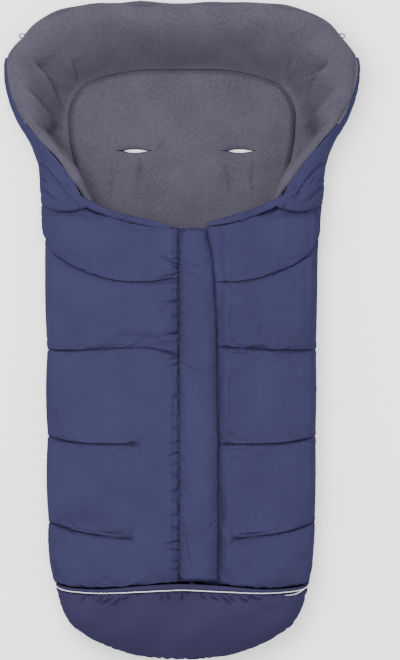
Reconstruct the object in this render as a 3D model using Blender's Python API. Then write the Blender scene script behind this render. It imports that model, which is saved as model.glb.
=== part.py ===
"""A padded pushchair footmuff, lying on its back: a fleece-lined quilted bag with a hood
round the head, two front panels closed by a zip under a storm flap, and a foot pocket."""

import math

import bmesh
import bpy
from mathutils import Matrix, Vector

# Overall sizes. X is across, Y runs from the foot to the head, Z is up from the floor.
LENGTH = 0.955
BODY_WIDTH = 0.388
HOOD_WIDTH = 0.514
FOOT_LENGTH = 0.1036  # foot end to the hem of the foot pocket
SHOULDER_LENGTH = 0.662  # foot end to where the front panels meet the hood
SIDE_SEAM_HEIGHT = 0.045
BODY_HEIGHT = 0.100  # top of the front at its quilting seams
QUILT_CROWN = 0.012  # how far each channel swells above its seams
RIM_HEIGHT_SHOULDER = 0.098
RIM_HEIGHT_HEAD = 0.080
ARCH_POWER = 2.6  # squareness of the cross-section

# Layers, from outside in
SKIN = 0.001  # woven polyester
FLEECE = 0.002
WALL = 0.016  # skin, wadding and fleece together
GAP = 0.0003  # between pieces that touch
BACK_THICKNESS = 0.0153
BODY_CURVE = 0.052  # plan width of the side wall, floor seam to side seam
FOOT_CURVE = 0.045
BEAD = 0.010  # radius of the rolled fleece rim

# Zip, flap and the panel edges either side of it
ZIP_X = 0.0145
LEFT_EDGE_X = -0.0044
RIGHT_EDGE_X = 0.033
FLAP_RIGHT_X = 0.052
FLAP_THICKNESS = 0.006
FLAP_CROWN = 0.003
FLAP_CLEARANCE = 0.0025  # under the flap's arch, over the puller
FLAP_BOTTOM = 0.1155
COIL_WIDTH = 0.0025
COIL_HEIGHT = 0.0022
COIL_SPLIT = 0.0016  # between the two coils, where the slider's post runs
TAPE_THICKNESS = 0.0008
ZIP_Z = 0.0950  # top of the tapes
ZIP_TOP = 0.6260
ZIP_BOTTOM = 0.1180
SLIDER_LENGTH = 0.0130
SLIDER_WIDTH = 0.0090
SLIDER_PLATE = 0.0012
SLIDER_POST = 0.0010
PULLER_LENGTH = 0.0240
PULLER_WIDTH = 0.0060
PULLER_THICKNESS = 0.0014
STOP_SIZE = 0.0022
TAPE_TAIL = 0.0030  # of the tapes, below the coils
PARK_GAP = 0.0010  # between the parked slider and the right coil
LUG_HEIGHT = 0.0018
LUG_WIDTH = 0.0010
LUG_LENGTH = 0.0030
PULLER_LIFT = 0.0006
PIVOT_INSET = 0.0018

# Hems, piping and cords
COLLAR_RADIUS = 0.0055
HEM_WIDTH = 0.0085
HEM_THICKNESS = 0.0030
PIPING_RADIUS = 0.0013
ELASTIC_RADIUS = 0.0015
ELASTIC_PLAY = 0.0008  # in its channel in the rolled rim
LOOP_RADIUS = 0.0012
LOOP_REACH = 0.0025  # beyond the hood's widest line
LOOP_WIDTH = 0.0070

# Harness slots through the back
SLOT_LENGTH = 0.058
SLOT_GAPE = 0.0062
SLOT_BORDER = 0.016  # of the reinforcing patch round each slit
SLOT_SHIFT = 0.0055  # the shoulder pair sits a little to the right of the centre line
SHOULDER_SLOT_X = 0.0765
SHOULDER_SLOT_SHARE = 0.2662  # of the hood's length, from the shoulder
HIP_SLOT_X = 0.090
HIP_SLOT_DROP = 0.212  # from the shoulder towards the foot
CROTCH_SLOT_DROP = 0.272

# Worked out from the sizes above
HALF_BODY = BODY_WIDTH / 2
HALF_HOOD = HOOD_WIDTH / 2
HOOD_LENGTH = LENGTH - SHOULDER_LENGTH
TAPE_IN = COIL_SPLIT / 2 + GAP
SLIDER_CLEAR = SLIDER_WIDTH / 2 + 2 * GAP
RIGHT_BOTTOM = ZIP_BOTTOM + SLIDER_LENGTH + PARK_GAP
RIGHT_TOP = ZIP_TOP - SLIDER_LENGTH - PARK_GAP
COIL_Z = ZIP_Z + GAP
COIL_TOP = COIL_Z + COIL_HEIGHT
PLATE_Z = COIL_TOP + GAP
UNDER_Z = ZIP_Z - TAPE_THICKNESS - GAP

# The plan outline of the right half, from the foot's middle to the head's middle.
# Foot: shares of the body's half width and of the foot's length, and of the foot curve.
FOOT_SHARES = [
    (0.000, 0.000, 1.0),
    (0.250, 0.030, 1.0),
    (0.525, 0.158, 1.0),
    (0.710, 0.330, 1.0),
    (0.828, 0.490, 1.0),
    (0.884, 0.666, 1.0),
    (0.942, 1.000, 1.0),
]
# Body: shares of the half width, and of the way from the foot hem to the shoulder.
BODY_SHARES = [
    (0.970, 0.063, 1.0),
    (0.990, 0.150, 1.0),
    (0.997, 0.380, 1.0),
    (1.000, 0.620, 1.0),
    (1.007, 0.820, 1.0),
    (1.014, 0.880, 1.0),
    (1.031, 0.965, 1.0),
]
# Shoulder: flare as a share of hood less body, then share of the hood's length, of the
# body curve, of the rim's inset and of its rise from the head's height to the shoulder's.
SHOULDER_SHARES = [
    (0.140, 0.000, 1.00, 0.645, 1.00),
    (0.172, 0.075, 0.98, 0.520, 0.95),
    (0.205, 0.178, 0.96, 0.330, 0.85),
    (0.390, 0.297, 1.06, 0.165, 0.65),
    (0.712, 0.416, 1.42, 0.100, 0.40),
    (0.920, 0.535, 1.72, 0.075, 0.20),
]
# Head: shares of the hood's half width and length, then how far in the floor seam lies as a
# share of the row's length, then as above.
HEAD_SHARES = [
    (1.000, 0.640, 0.382, 0.060, 0.10),
    (0.996, 0.712, 0.405, 0.050, 0.00),
    (0.953, 0.780, 0.414, 0.045, 0.00),
    (0.905, 0.828, 0.434, 0.040, 0.00),
    (0.843, 0.893, 0.463, 0.035, 0.00),
    (0.710, 0.953, 0.486, 0.030, 0.00),
    (0.485, 0.996, 0.495, 0.030, 0.00),
    (0.240, 1.000, 0.493, 0.030, 0.00),
    (0.000, 1.000, 0.490, 0.030, 0.00),
]
RIM_REACH = 0.100  # the length that the rim inset shares are of
HEAD_SPINE_SHARE = 0.335  # where the head's rows meet, as a share of the hood's length
SHOULDER_TILT_SHARES = [0.018, 0.08, 0.09, 0.05, 0.0, 0.0]
# The fleece wall is a Bezier: how its two handles pull, at the head and at the shoulder
WALL_FOOT_PULL = ((-0.022, 0.014), (-0.040, 0.012))
WALL_RIM_PULL = ((0.016, -0.010), (-0.034, -0.012))
WALL_STEPS = 5
ROLL_STEPS = 6
ROLL_END_DEGREES = 12  # where the roll stops, clear of the outer's edge
LOOP_ROW = 9  # the hood row that carries the rim loops
LOOP_NECK_SHARE = 0.7

# Heights along the front, at shares of the way in from the side seam to the middle
ACROSS_SHARES = (0.0, 0.25, 0.5, 0.75, 1.0)
PANEL_SEAMS = [
    (0.1110, 0.1075, 0.1062, 0.1085, 0.1125),
    (0.1990, 0.1880, 0.1790, 0.1755, 0.1730),
    (0.3240, 0.3140, 0.3120, 0.3110, 0.3060),
    (0.4500, 0.4490, 0.4520, 0.4520, 0.4420),
    (0.6060, 0.5630, 0.5500, 0.5480, 0.5530),
]
PANEL_TOP_ACROSS_SHARES = (0.0, 0.14, 0.26, 0.34, 0.45, 0.60, 0.78, 0.93, 1.0)
PANEL_TOP = (0.6612, 0.6612, 0.6608, 0.6555, 0.6465, 0.6360, 0.6292, 0.6270, 0.6270)
COLUMN_SHARES = (1.0, 0.97, 0.90, 0.80, 0.71, 0.63, 0.50, 0.36)  # of the half width
LEFT_COLUMN_SHARES = (0.20, 0.08)
RIGHT_COLUMN_SHARES = (0.26,)
ROWS_PER_CHANNEL = 4
CHANNEL_POWER = 0.8  # under 1 makes the channels fuller near their seams
HINGE_OUTSET = 0.001  # of a panel's fold line, outside its side seam
PUFF_FROM_SIDE = 0.030  # over which a channel fills out from the side seam
PUFF_FROM_EDGE = 0.045  # and from the zip edge
FLAP_SEAT = 0.0025  # how far the right panel sinks under the flap
SEAT_FADE = 0.020
HEM_ACROSS_SHARES = (0.0, 0.12, 0.35, 0.72, 1.0)
HEM_WAVE = (0.1060, 0.1008, 0.1000, 0.1025, 0.1052)
HEM_STATION_SHARES = (0.97, 0.93, 0.85, 0.74, 0.60, 0.45, 0.30, 0.15, 0.0)
HEM_LIFT = 0.0012  # of the hem above the pocket
HEM_CROWN_SHARES = (0.4, 1.0, 1.0, 0.4)
FOOT_COLUMN_SHARES = (0.0, 0.03, 0.10, 0.22, 0.40, 0.65, 1.0)
COLLAR_SHARES = (0.0, 0.12, 0.25, 0.38, 0.5, 0.62, 0.75, 0.88, 1.0)
COLLAR_START_SHARE = 0.40
COLLAR_END = 0.004  # from the panel's zip edge
COLLAR_GAP = 0.0012

# Storm flap: heights and rows from foot to head
FLAP_Z = 0.0992  # underside at its sewn edge
FLAP_ROW_SHARES = (0.0, 0.2, 0.4, 0.6, 0.78, 0.91, 1.0)
FLAP_EDGE_SHARES = (1.0, 1.0, 1.0, 0.975, 0.92, 0.83, 0.68)
FLAP_ACROSS_SHARES = (0.0, 0.1, 0.25, 0.5, 0.75, 0.92, 1.0)
FLAP_SEWN_SHARE = 0.2  # over which the underside lifts off the zip
FLAP_FREE_SHARE = 0.35  # and comes down again to the free edge
FLAP_DROOP = 0.001
FLAP_EDGE_ROUND_SHARE = 0.35
FLAP_CORNER = 0.004
FLAP_CORNER_SHARE = 0.12

NOSE_STEPS = 6
CAPSULE_STEPS = 4
LENS_STEPS = 4
CURVE_STEPS = 3
WELD = 0.00001
SLOPE_STEP_SHARE = 0.01

NAVY = (0.070, 0.075, 0.172)
NAVY_DARK = (0.050, 0.054, 0.130)
GREY = (0.125, 0.120, 0.145)
WHITE = (0.80, 0.80, 0.86)
WADDING = (0.82, 0.82, 0.80)
BRIGHT = (0.55, 0.56, 0.58)

parts = None


def start_scene():
    """Empty the file and make the collection that holds the footmuff."""
    global parts
    for item in list(bpy.data.objects):
        bpy.data.objects.remove(item, do_unlink=True)
    parts = bpy.data.collections.new("stroller_footmuff")
    bpy.context.scene.collection.children.link(parts)


def finish(obj, colour, roughness, metallic=0.0, angle=40):
    """Give a piece its material, shade it smooth and link it."""
    material = bpy.data.materials.new(obj.name + "_material")
    material.use_nodes = True
    shader = material.node_tree.nodes["Principled BSDF"]
    shader.inputs["Base Color"].default_value = (*colour, 1.0)
    shader.inputs["Roughness"].default_value = roughness
    shader.inputs["Metallic"].default_value = metallic
    obj.data.materials.append(material)
    if obj.type == "MESH":
        obj.data.shade_smooth()
        obj.data.set_sharp_from_angle(angle=math.radians(angle))
    if obj.name not in parts.objects:
        parts.objects.link(obj)
    return obj


def between(a, b, share):
    return a + (b - a) * share


def read_off(xs, ys, x):
    """Straight-line interpolation in a short table."""
    for k in range(len(xs) - 1):
        if x <= xs[k + 1]:
            return between(ys[k], ys[k + 1], (x - xs[k]) / (xs[k + 1] - xs[k]))
    return ys[-1]


def smooth_read(xs, ys, x):
    """A smooth curve through a short table, flat at both ends."""
    for k in range(len(xs) - 1):
        if x <= xs[k + 1] or k == len(xs) - 2:
            break
    span = xs[k + 1] - xs[k]
    share = min(max((x - xs[k]) / span, 0.0), 1.0)
    slopes = []
    for m in (k, k + 1):
        low, high = max(m - 1, 0), min(m + 1, len(xs) - 1)
        inner = 0 < m < len(xs) - 1
        slopes.append((ys[high] - ys[low]) / (xs[high] - xs[low]) if inner else 0.0)
    s2, s3 = share * share, share ** 3
    return (
        ys[k] * (2 * s3 - 3 * s2 + 1)
        + ys[k + 1] * (3 * s2 - 2 * s3)
        + slopes[0] * span * (s3 - 2 * s2 + share)
        + slopes[1] * span * (s3 - s2)
    )


class Row:
    """One cross-section: its point on the outline, the way in, and its own sizes."""

    def __init__(self, x, y, spine_y, curve, rim_inset=0.0, rim_rise=0.0):
        self.point = Vector((x, y))
        self.spine = Vector((0.0, spine_y))
        self.inward = (self.spine - self.point).normalized()
        self.width = (self.spine - self.point).length
        self.curve = curve
        self.rim_inset = rim_inset
        self.rim_z = between(RIM_HEIGHT_HEAD, RIM_HEIGHT_SHOULDER, rim_rise)
        self.rise = rim_rise

    def mirrored(self):
        other = Row(-self.point.x, self.point.y, self.spine.y, self.curve, self.rim_inset)
        other.rim_z = self.rim_z
        other.rise = self.rise
        return other

    def shifted(self, along):
        other = Row(self.point.x, self.point.y + along, self.spine.y + along, self.curve)
        other.rim_inset, other.rim_z, other.rise = self.rim_inset, self.rim_z, self.rise
        return other

    def place(self, inset, z):
        flat = self.point + self.inward * inset
        return Vector((flat.x, flat.y - LENGTH / 2, z))


def foot_rows():
    return [
        Row(x * HALF_BODY, y * FOOT_LENGTH, FOOT_LENGTH, FOOT_CURVE * c)
        for x, y, c in FOOT_SHARES
    ]


def body_rows():
    rows = []
    for x, share, curve in BODY_SHARES:
        y = between(FOOT_LENGTH, SHOULDER_LENGTH, share)
        rows.append(Row(x * HALF_BODY, y, y, BODY_CURVE * curve))
    return rows


def hood_rows():
    rows = []
    limit = SHOULDER_LENGTH + HEAD_SPINE_SHARE * HOOD_LENGTH
    for (flare, share, curve, inset, rise), tilt in zip(SHOULDER_SHARES, SHOULDER_TILT_SHARES):
        x = HALF_BODY + flare * (HALF_HOOD - HALF_BODY)
        y = SHOULDER_LENGTH + share * HOOD_LENGTH
        spine = min(y + tilt * x, limit)
        rows.append(Row(x, y, spine, BODY_CURVE * curve, RIM_REACH * inset, rise))
    for x, share, seam, inset, rise in HEAD_SHARES:
        y = SHOULDER_LENGTH + share * HOOD_LENGTH
        row = Row(x * HALF_HOOD, y, limit, 0.0, RIM_REACH * inset, rise)
        row.curve = seam * row.width
        rows.append(row)
    return rows


def full_loop(rows, start_at_middle):
    """The right half's rows with their mirror images, left to right or round the foot."""
    inner = rows[1:] if start_at_middle else rows[:-1]
    if start_at_middle:
        return [row.mirrored() for row in reversed(inner)] + rows
    return [row.mirrored() for row in rows] + list(reversed(inner))


def half_width(y):
    """The outline's half width at a height, on the same straight runs as the rows."""
    rows = [foot_rows()[-1]] + body_rows() + hood_rows()[:3]
    return read_off([r.point.y for r in rows], [r.point.x for r in rows], y)


def arch(ratio):
    """Height of the body's cross-section, as a share, at a share of the half width."""
    return max(1.0 - min(abs(ratio), 1.0) ** ARCH_POWER, 0.0) ** (1.0 / ARCH_POWER)


def solid_from_grids(name, outer, inner, colour, roughness):
    """Close the space between two grids of points that lie row for row side by side."""
    bm = bmesh.new()
    rows, columns = len(outer), len(outer[0])
    top = [[bm.verts.new(p) for p in line] for line in outer]
    low = [[bm.verts.new(p) for p in line] for line in inner]
    for r in range(rows - 1):
        for c in range(columns - 1):
            bm.faces.new((top[r][c], top[r][c + 1], top[r + 1][c + 1], top[r + 1][c]))
            bm.faces.new((low[r][c], low[r + 1][c], low[r + 1][c + 1], low[r][c + 1]))
    for r in range(rows - 1):
        bm.faces.new((top[r][0], top[r + 1][0], low[r + 1][0], low[r][0]))
        bm.faces.new((top[r][-1], low[r][-1], low[r + 1][-1], top[r + 1][-1]))
    for c in range(columns - 1):
        bm.faces.new((top[0][c], low[0][c], low[0][c + 1], top[0][c + 1]))
        bm.faces.new((top[-1][c], top[-1][c + 1], low[-1][c + 1], low[-1][c]))
    bmesh.ops.remove_doubles(bm, verts=bm.verts, dist=WELD)
    bmesh.ops.dissolve_degenerate(bm, edges=bm.edges, dist=WELD)
    bmesh.ops.recalc_face_normals(bm, faces=bm.faces)
    mesh = bpy.data.meshes.new(name)
    bm.to_mesh(mesh)
    bm.free()
    return finish(bpy.data.objects.new(name, mesh), colour, roughness)


def offset_line(line, amount, flat_start, level_end):
    """Shift a cross-section line to its left; its ends may keep an upright or level face."""
    moved = []
    for k, (i, z) in enumerate(line):
        before, after = line[max(k - 1, 0)], line[min(k + 1, len(line) - 1)]
        along = Vector((after[0] - before[0], after[1] - before[1])).normalized()
        normal = Vector((-along.y, along.x))
        if k == 0 and flat_start:
            normal = Vector((0.0, 1.0 if normal.y > 0 else -1.0))
        if k == len(line) - 1 and level_end:
            normal = Vector((1.0 if normal.x > 0 else -1.0, 0.0))
        moved.append((i + normal.x * amount, z + normal.y * amount))
    return moved


def quarter(steps):
    return [math.radians(90 * k / steps) for k in range(steps + 1)]


def side_outer_line(row):
    """From the seam with the back's skin to the side seam."""
    depth = SIDE_SEAM_HEIGHT - SKIN
    return [
        (row.curve * (1 - math.cos(a)), SIDE_SEAM_HEIGHT - depth * math.sin(a))
        for a in reversed(quarter(CURVE_STEPS))
    ]


def side_lining_line(row):
    depth = SIDE_SEAM_HEIGHT - BACK_THICKNESS
    return [
        (WALL + (row.curve - WALL) * (1 - math.cos(a)), SIDE_SEAM_HEIGHT - depth * math.sin(a))
        for a in reversed(quarter(CURVE_STEPS))
    ]


def hood_outer_line(row):
    """Floor seam, out to the widest point, and up and in to the rim."""
    lower = side_outer_line(row)
    rise = row.rim_z - SIDE_SEAM_HEIGHT
    upper = [
        (row.rim_inset * (1 - math.cos(a)), SIDE_SEAM_HEIGHT + rise * math.sin(a))
        for a in quarter(CURVE_STEPS)[1:]
    ]
    return lower + upper


def bead_of(row):
    """Centre of the rolled rim, and the angles where it meets the outer and the lining."""
    meet = math.radians(between(180, 140, row.rise))
    start = math.radians(between(0, -90, row.rise))
    centre = (row.rim_inset - BEAD * math.cos(meet), row.rim_z - BEAD * math.sin(meet))
    return centre, start, meet


def hood_wall_line(row):
    """The fleece wall from the floor seam up to the rolled rim, as a Bezier."""
    centre, start, _ = bead_of(row)
    a = Vector((centre[0] + BEAD * math.cos(start), centre[1] + BEAD * math.sin(start)))
    b = Vector((row.curve, BACK_THICKNESS))
    p1 = b + Vector(WALL_FOOT_PULL[0]).lerp(Vector(WALL_FOOT_PULL[1]), row.rise)
    p2 = a + Vector(WALL_RIM_PULL[0]).lerp(Vector(WALL_RIM_PULL[1]), row.rise)
    line = []
    for k in range(WALL_STEPS + 1):
        t = k / WALL_STEPS
        point = b * (1 - t) ** 3 + p1 * 3 * t * (1 - t) ** 2 + p2 * 3 * t * t * (1 - t) + a * t ** 3
        line.append((point.x, point.y))
    return line


def hood_lining_line(row):
    """Up the fleece wall and round the rolled rim to the outer's edge."""
    centre, start, meet = bead_of(row)
    end = meet - math.radians(ROLL_END_DEGREES)
    roll = []
    for k in range(1, ROLL_STEPS + 1):
        angle = between(start, end, k / ROLL_STEPS)
        roll.append((centre[0] + BEAD * math.cos(angle), centre[1] + BEAD * math.sin(angle)))
    return hood_wall_line(row) + roll


def band(name, rows, line_of, near, far, colour, roughness, level_end=True, keep=slice(None)):
    """A layer that follows one cross-section line, between two depths from it."""
    outer, inner = [], []
    for row in rows:
        line = line_of(row)
        for grid, depth in ((outer, near), (inner, far)):
            moved = offset_line(line, depth, True, level_end)[keep]
            grid.append([row.place(i, z) for i, z in moved])
    return solid_from_grids(name, outer, inner, colour, roughness)


def filling(name, rows, outer_of, inner_of, colour, level_end):
    """The wadding between the skin's line and the fleece's line."""
    outer, inner = [], []
    for row in rows:
        skin = offset_line(outer_of(row), -(SKIN + GAP), True, level_end)
        fleece = offset_line(inner_of(row), FLEECE + GAP, True, level_end)
        outer.append([row.place(i, z) for i, z in skin])
        inner.append([row.place(i, z) for i, z in fleece])
    return solid_from_grids(name, outer, inner, colour, 0.95)


def flat_curve(name, outlines, z_low, z_high, colour, roughness, metallic=0.0):
    """A plate from a closed outline in plan, with any holes, between two heights."""
    curve = bpy.data.curves.new(name, "CURVE")
    curve.dimensions = "2D"
    curve.fill_mode = "BOTH"
    curve.extrude = (z_high - z_low) / 2
    for outline in outlines:
        spline = curve.splines.new("POLY")
        spline.points.add(len(outline) - 1)
        for point, (x, y) in zip(spline.points, outline):
            point.co = (x, y, 0.0, 1.0)
        spline.use_cyclic_u = True
    obj = bpy.data.objects.new(name, curve)
    obj.location.z = (z_low + z_high) / 2
    return finish(obj, colour, roughness, metallic)


def tube(name, path, radius, colour, roughness, sides=2):
    """A cord or a rolled hem along a path of points."""
    curve = bpy.data.curves.new(name, "CURVE")
    curve.dimensions = "3D"
    curve.bevel_depth = radius
    curve.bevel_resolution = sides
    curve.use_fill_caps = True
    spline = curve.splines.new("POLY")
    spline.points.add(len(path) - 1)
    for point, place in zip(spline.points, path):
        point.co = (*place, 1.0)
    return finish(bpy.data.objects.new(name, curve), colour, roughness)


def box(name, low, high, colour, roughness, metallic=0.0):
    """A block between two corners, its heights from the floor and Y from the foot end."""
    bm = bmesh.new()
    bmesh.ops.create_cube(bm, size=1.0)
    size = [b - a for a, b in zip(low, high)]
    bmesh.ops.scale(bm, verts=bm.verts, vec=size)
    mesh = bpy.data.meshes.new(name)
    bm.to_mesh(mesh)
    bm.free()
    obj = bpy.data.objects.new(name, mesh)
    middle = [(a + b) / 2 for a, b in zip(low, high)]
    obj.location = (middle[0], middle[1] - LENGTH / 2, middle[2])
    return finish(obj, colour, roughness, metallic)


def capsule(x, y, length, width):
    """The round-ended outline of a slot facing."""
    reach = (length - width) / 2
    points = []
    for side in (1, -1):
        for k in range(CAPSULE_STEPS + 1):
            angle = math.radians(-90 + 180 * k / CAPSULE_STEPS)
            px = x + side * (reach + width / 2 * math.cos(angle))
            points.append((px, y - LENGTH / 2 + side * width / 2 * math.sin(angle)))
    return points


def lens(x, y, length, width):
    """A slit that gapes in the middle."""
    points = []
    for side in (-1, 1):
        for k in range(LENS_STEPS):
            share = k / LENS_STEPS
            px = x + side * (share - 0.5) * length
            points.append((px, y - LENGTH / 2 + side * width / 2 * math.sin(math.pi * share)))
    return points


def slots():
    """Name and place of each harness slot."""
    high = SHOULDER_LENGTH + SHOULDER_SLOT_SHARE * HOOD_LENGTH
    low = SHOULDER_LENGTH - HIP_SLOT_DROP
    return [
        ("left_shoulder", SLOT_SHIFT - SHOULDER_SLOT_X, high),
        ("right_shoulder", SLOT_SHIFT + SHOULDER_SLOT_X, high),
        ("left_hip", -HIP_SLOT_X, low),
        ("right_hip", HIP_SLOT_X, low),
        ("crotch", 0.0, SHOULDER_LENGTH - CROTCH_SLOT_DROP),
    ]


def make_back(rows):
    """The flat back: skin, wadding and fleece pad, with the harness slots through all."""
    ring = [row.place(row.curve + GAP, 0.0) for row in rows]
    outline = [(p.x, p.y) for p in ring]
    wide = SLOT_LENGTH + 2 * SLOT_BORDER
    high = SLOT_GAPE + 2 * SLOT_BORDER
    holes = [capsule(x, y, wide, high) for _, x, y in slots()]
    flat_curve("back_outer", [outline] + holes, 0.0, SKIN, NAVY, 0.6)
    low, top = SKIN + GAP, BACK_THICKNESS - FLEECE - GAP
    flat_curve("back_wadding", [outline] + holes, low, top, WADDING, 0.95)
    flat_curve("back_lining", [outline] + holes, top + GAP, BACK_THICKNESS, GREY, 0.95)
    for name, x, y in slots():
        edge = capsule(x, y, wide - 2 * GAP, high - 2 * GAP)
        slit = lens(x, y, SLOT_LENGTH, SLOT_GAPE)
        flat_curve("slot_facing_" + name, [edge, slit], 0.0, BACK_THICKNESS, GREY, 0.95)


def make_side(rows):
    """The lower side wall, from one shoulder round the foot to the other."""
    band("side_outer", rows, side_outer_line, 0.0, -SKIN, NAVY, 0.6)
    filling("side_wadding", rows, side_outer_line, side_lining_line, WADDING, True)
    band("side_lining", rows, side_lining_line, 0.0, FLEECE, GREY, 0.95)


def make_hood(rows):
    """The wall round the head, its rolled fleece rim and the elastic inside the roll."""
    band("hood_outer", rows, hood_outer_line, 0.0, -SKIN, NAVY, 0.6, False)
    band("hood_lining", rows, hood_lining_line, 0.0, FLEECE, GREY, 0.95, False)
    filling(
        "hood_wadding",
        rows,
        lambda row: hood_outer_line(row)[:-1],
        lambda row: hood_wall_line(row),
        WADDING,
        False,
    )
    core = BEAD - ELASTIC_RADIUS - ELASTIC_PLAY
    roll = slice(WALL_STEPS + 2, -1)
    band("rim_wadding", rows, hood_lining_line, FLEECE + GAP, core, WADDING, 0.95, False, roll)
    path = [row.place(*bead_of(row)[0]) for row in rows]
    tube("hood_elastic", path, ELASTIC_RADIUS, WHITE, 0.8, 1)
    for name, row in (("left", rows[LOOP_ROW]), ("right", rows[-1 - LOOP_ROW])):
        along = Vector((row.inward.y, -row.inward.x, 0.0)) * LOOP_WIDTH / 2
        inset, height = hood_outer_line(row)[CURVE_STEPS + 1]
        root = row.place(inset - GAP - LOOP_RADIUS, height)
        out = row.place(-LOOP_REACH, height)
        neck = along * LOOP_NECK_SHARE
        path = [root - along, out - neck, out + neck, root + along]
        tube("rim_loop_" + name, path, LOOP_RADIUS, WHITE, 0.7, 1)


def make_foot(rows):
    """The foot pocket: an upper cap over the toes in skin, wadding and fleece."""
    height = BODY_HEIGHT - SIDE_SEAM_HEIGHT

    def cap(row, depth):
        line = []
        for share in FOOT_COLUMN_SHARES:
            inset = depth + share * (row.width - depth)
            z = SIDE_SEAM_HEIGHT + GAP + (height - depth) * arch(1.0 - share)
            line.append(row.place(inset, z))
        return line

    layers = [
        ("foot_pocket", 0.0, SKIN, NAVY_DARK, 0.6),
        ("foot_wadding", SKIN + GAP, WALL - FLEECE - GAP, WADDING, 0.95),
        ("foot_lining", WALL - FLEECE, WALL, GREY, 0.95),
    ]
    for name, near, far, colour, roughness in layers:
        outer = [cap(row, near) for row in rows]
        inner = [cap(row, far) for row in rows]
        solid_from_grids(name, outer, inner, colour, roughness)


def hem_point(x, lift, along):
    """A point over the foot hem, which waves across the front."""
    half = half_width(FOOT_LENGTH)
    y = smooth_read(HEM_ACROSS_SHARES, HEM_WAVE, 1.0 - abs(x) / half) + along
    z = SIDE_SEAM_HEIGHT + GAP + (BODY_HEIGHT - SIDE_SEAM_HEIGHT) * arch(x / half) + lift
    return Vector((x, y - LENGTH / 2, z))


def make_hem():
    """The padded hem band of the foot pocket, and the reflective piping below it."""
    half = half_width(FOOT_LENGTH)
    stations = [half * share for share in HEM_STATION_SHARES]
    xs = [-x for x in stations] + [x for x in reversed(stations[:-1])]
    outer, inner = [], []
    for x in xs:
        ends = (HEM_WIDTH / 2, HEM_WIDTH / 4, -HEM_WIDTH / 4, -HEM_WIDTH / 2)
        rises = [HEM_LIFT + crown * HEM_THICKNESS for crown in HEM_CROWN_SHARES]
        outer.append([hem_point(x, rise, a) for a, rise in zip(ends, rises)])
        inner.append([hem_point(x, HEM_LIFT, a) for a in ends])
    solid_from_grids("foot_pocket_hem", outer, inner, NAVY, 0.6)
    drop = -HEM_WIDTH / 2 - GAP - PIPING_RADIUS
    path = [hem_point(x, HEM_LIFT + PIPING_RADIUS, drop) for x in xs]
    tube("reflective_piping", path, PIPING_RADIUS, WHITE, 0.35, 1)


def ease(share):
    share = min(max(share, 0.0), 1.0)
    return share * share * (3 - 2 * share)


def panel_y(across, row):
    """Y of a quilting row at a share of the way in, and how far it is through its channel."""
    channel, step = divmod(row, ROWS_PER_CHANNEL)
    lines = [smooth_read(ACROSS_SHARES, seam, across) for seam in PANEL_SEAMS]
    lines.append(smooth_read(PANEL_TOP_ACROSS_SHARES, PANEL_TOP, across))
    if step == 0:
        return lines[channel], 0.0
    through = step / ROWS_PER_CHANNEL
    return between(lines[channel], lines[channel + 1], through), through


def panel_point(side, edge, nominal, row, depth, crowned, seat):
    """One point of a front panel, at a depth below its skin."""
    column = (nominal - edge) / (HALF_BODY - edge)
    y, through = panel_y(1.0 - nominal / HALF_BODY, row)
    half = half_width(y)
    x = edge + (half - depth - edge) * column
    height = BODY_HEIGHT - SIDE_SEAM_HEIGHT - depth
    ratio = x / (half - depth)
    rise = arch(ratio)
    normal = Vector((ratio ** (ARCH_POWER - 1) / half, rise ** (ARCH_POWER - 1) / height))
    normal.normalize()
    z = SIDE_SEAM_HEIGHT + GAP + height * rise
    if crowned:
        swell = QUILT_CROWN * math.sin(math.pi * through) ** CHANNEL_POWER
        swell *= ease((half - x) / PUFF_FROM_SIDE) * ease((x - edge - seat) / PUFF_FROM_EDGE)
        x += normal.x * swell
        z += normal.y * swell
        z -= FLAP_SEAT * ease((edge + seat - x) / SEAT_FADE + 1.0) if seat else 0.0
    return Vector((side * x, y - LENGTH / 2, z))


def make_panel(name, side, edge, seat, last_shares):
    """A quilted front panel in skin, wadding and fleece."""
    count = ROWS_PER_CHANNEL * len(PANEL_SEAMS) + 1
    columns = [HALF_BODY * share for share in COLUMN_SHARES + last_shares] + [edge]
    layers = [
        ("_outer", 0.0, True, SKIN, True, NAVY, 0.6),
        ("_wadding", SKIN + GAP, True, WALL - FLEECE - GAP, False, WADDING, 0.95),
        ("_lining", WALL - FLEECE, False, WALL, False, GREY, 0.95),
    ]
    for ending, near, near_crown, far, far_crown, colour, roughness in layers:
        grids = []
        for depth, crowned in ((near, near_crown), (far, far_crown)):
            grids.append([
                [panel_point(side, edge, x, r, depth, crowned, seat) for x in columns]
                for r in range(count)
            ])
        solid_from_grids(name + ending, grids[0], grids[1], colour, roughness)


def make_collar(name, side, edge):
    """The gathered hem along a panel's upper edge."""
    path = []
    for share in COLLAR_SHARES:
        across = between(COLLAR_START_SHARE, 1.0 - (edge + COLLAR_END) / HALF_BODY, share)
        here = smooth_read(PANEL_TOP_ACROSS_SHARES, PANEL_TOP, across)
        there = smooth_read(PANEL_TOP_ACROSS_SHARES, PANEL_TOP, across + SLOPE_STEP_SHARE)
        slope = (there - here) / (-SLOPE_STEP_SHARE * HALF_BODY)
        column = ((1.0 - across) * HALF_BODY - edge) / (HALF_BODY - edge)
        x = edge + (half_width(here) - edge) * column
        normal = Vector((-slope, 1.0)).normalized() * (COLLAR_RADIUS + COLLAR_GAP)
        z = SIDE_SEAM_HEIGHT + (BODY_HEIGHT - SIDE_SEAM_HEIGHT) * arch(x / half_width(here))
        y = here + normal.y - LENGTH / 2
        path.append((side * (x + normal.x), y, z - COLLAR_RADIUS / 2))
    tube(name, path, COLLAR_RADIUS, NAVY, 0.6)


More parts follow.
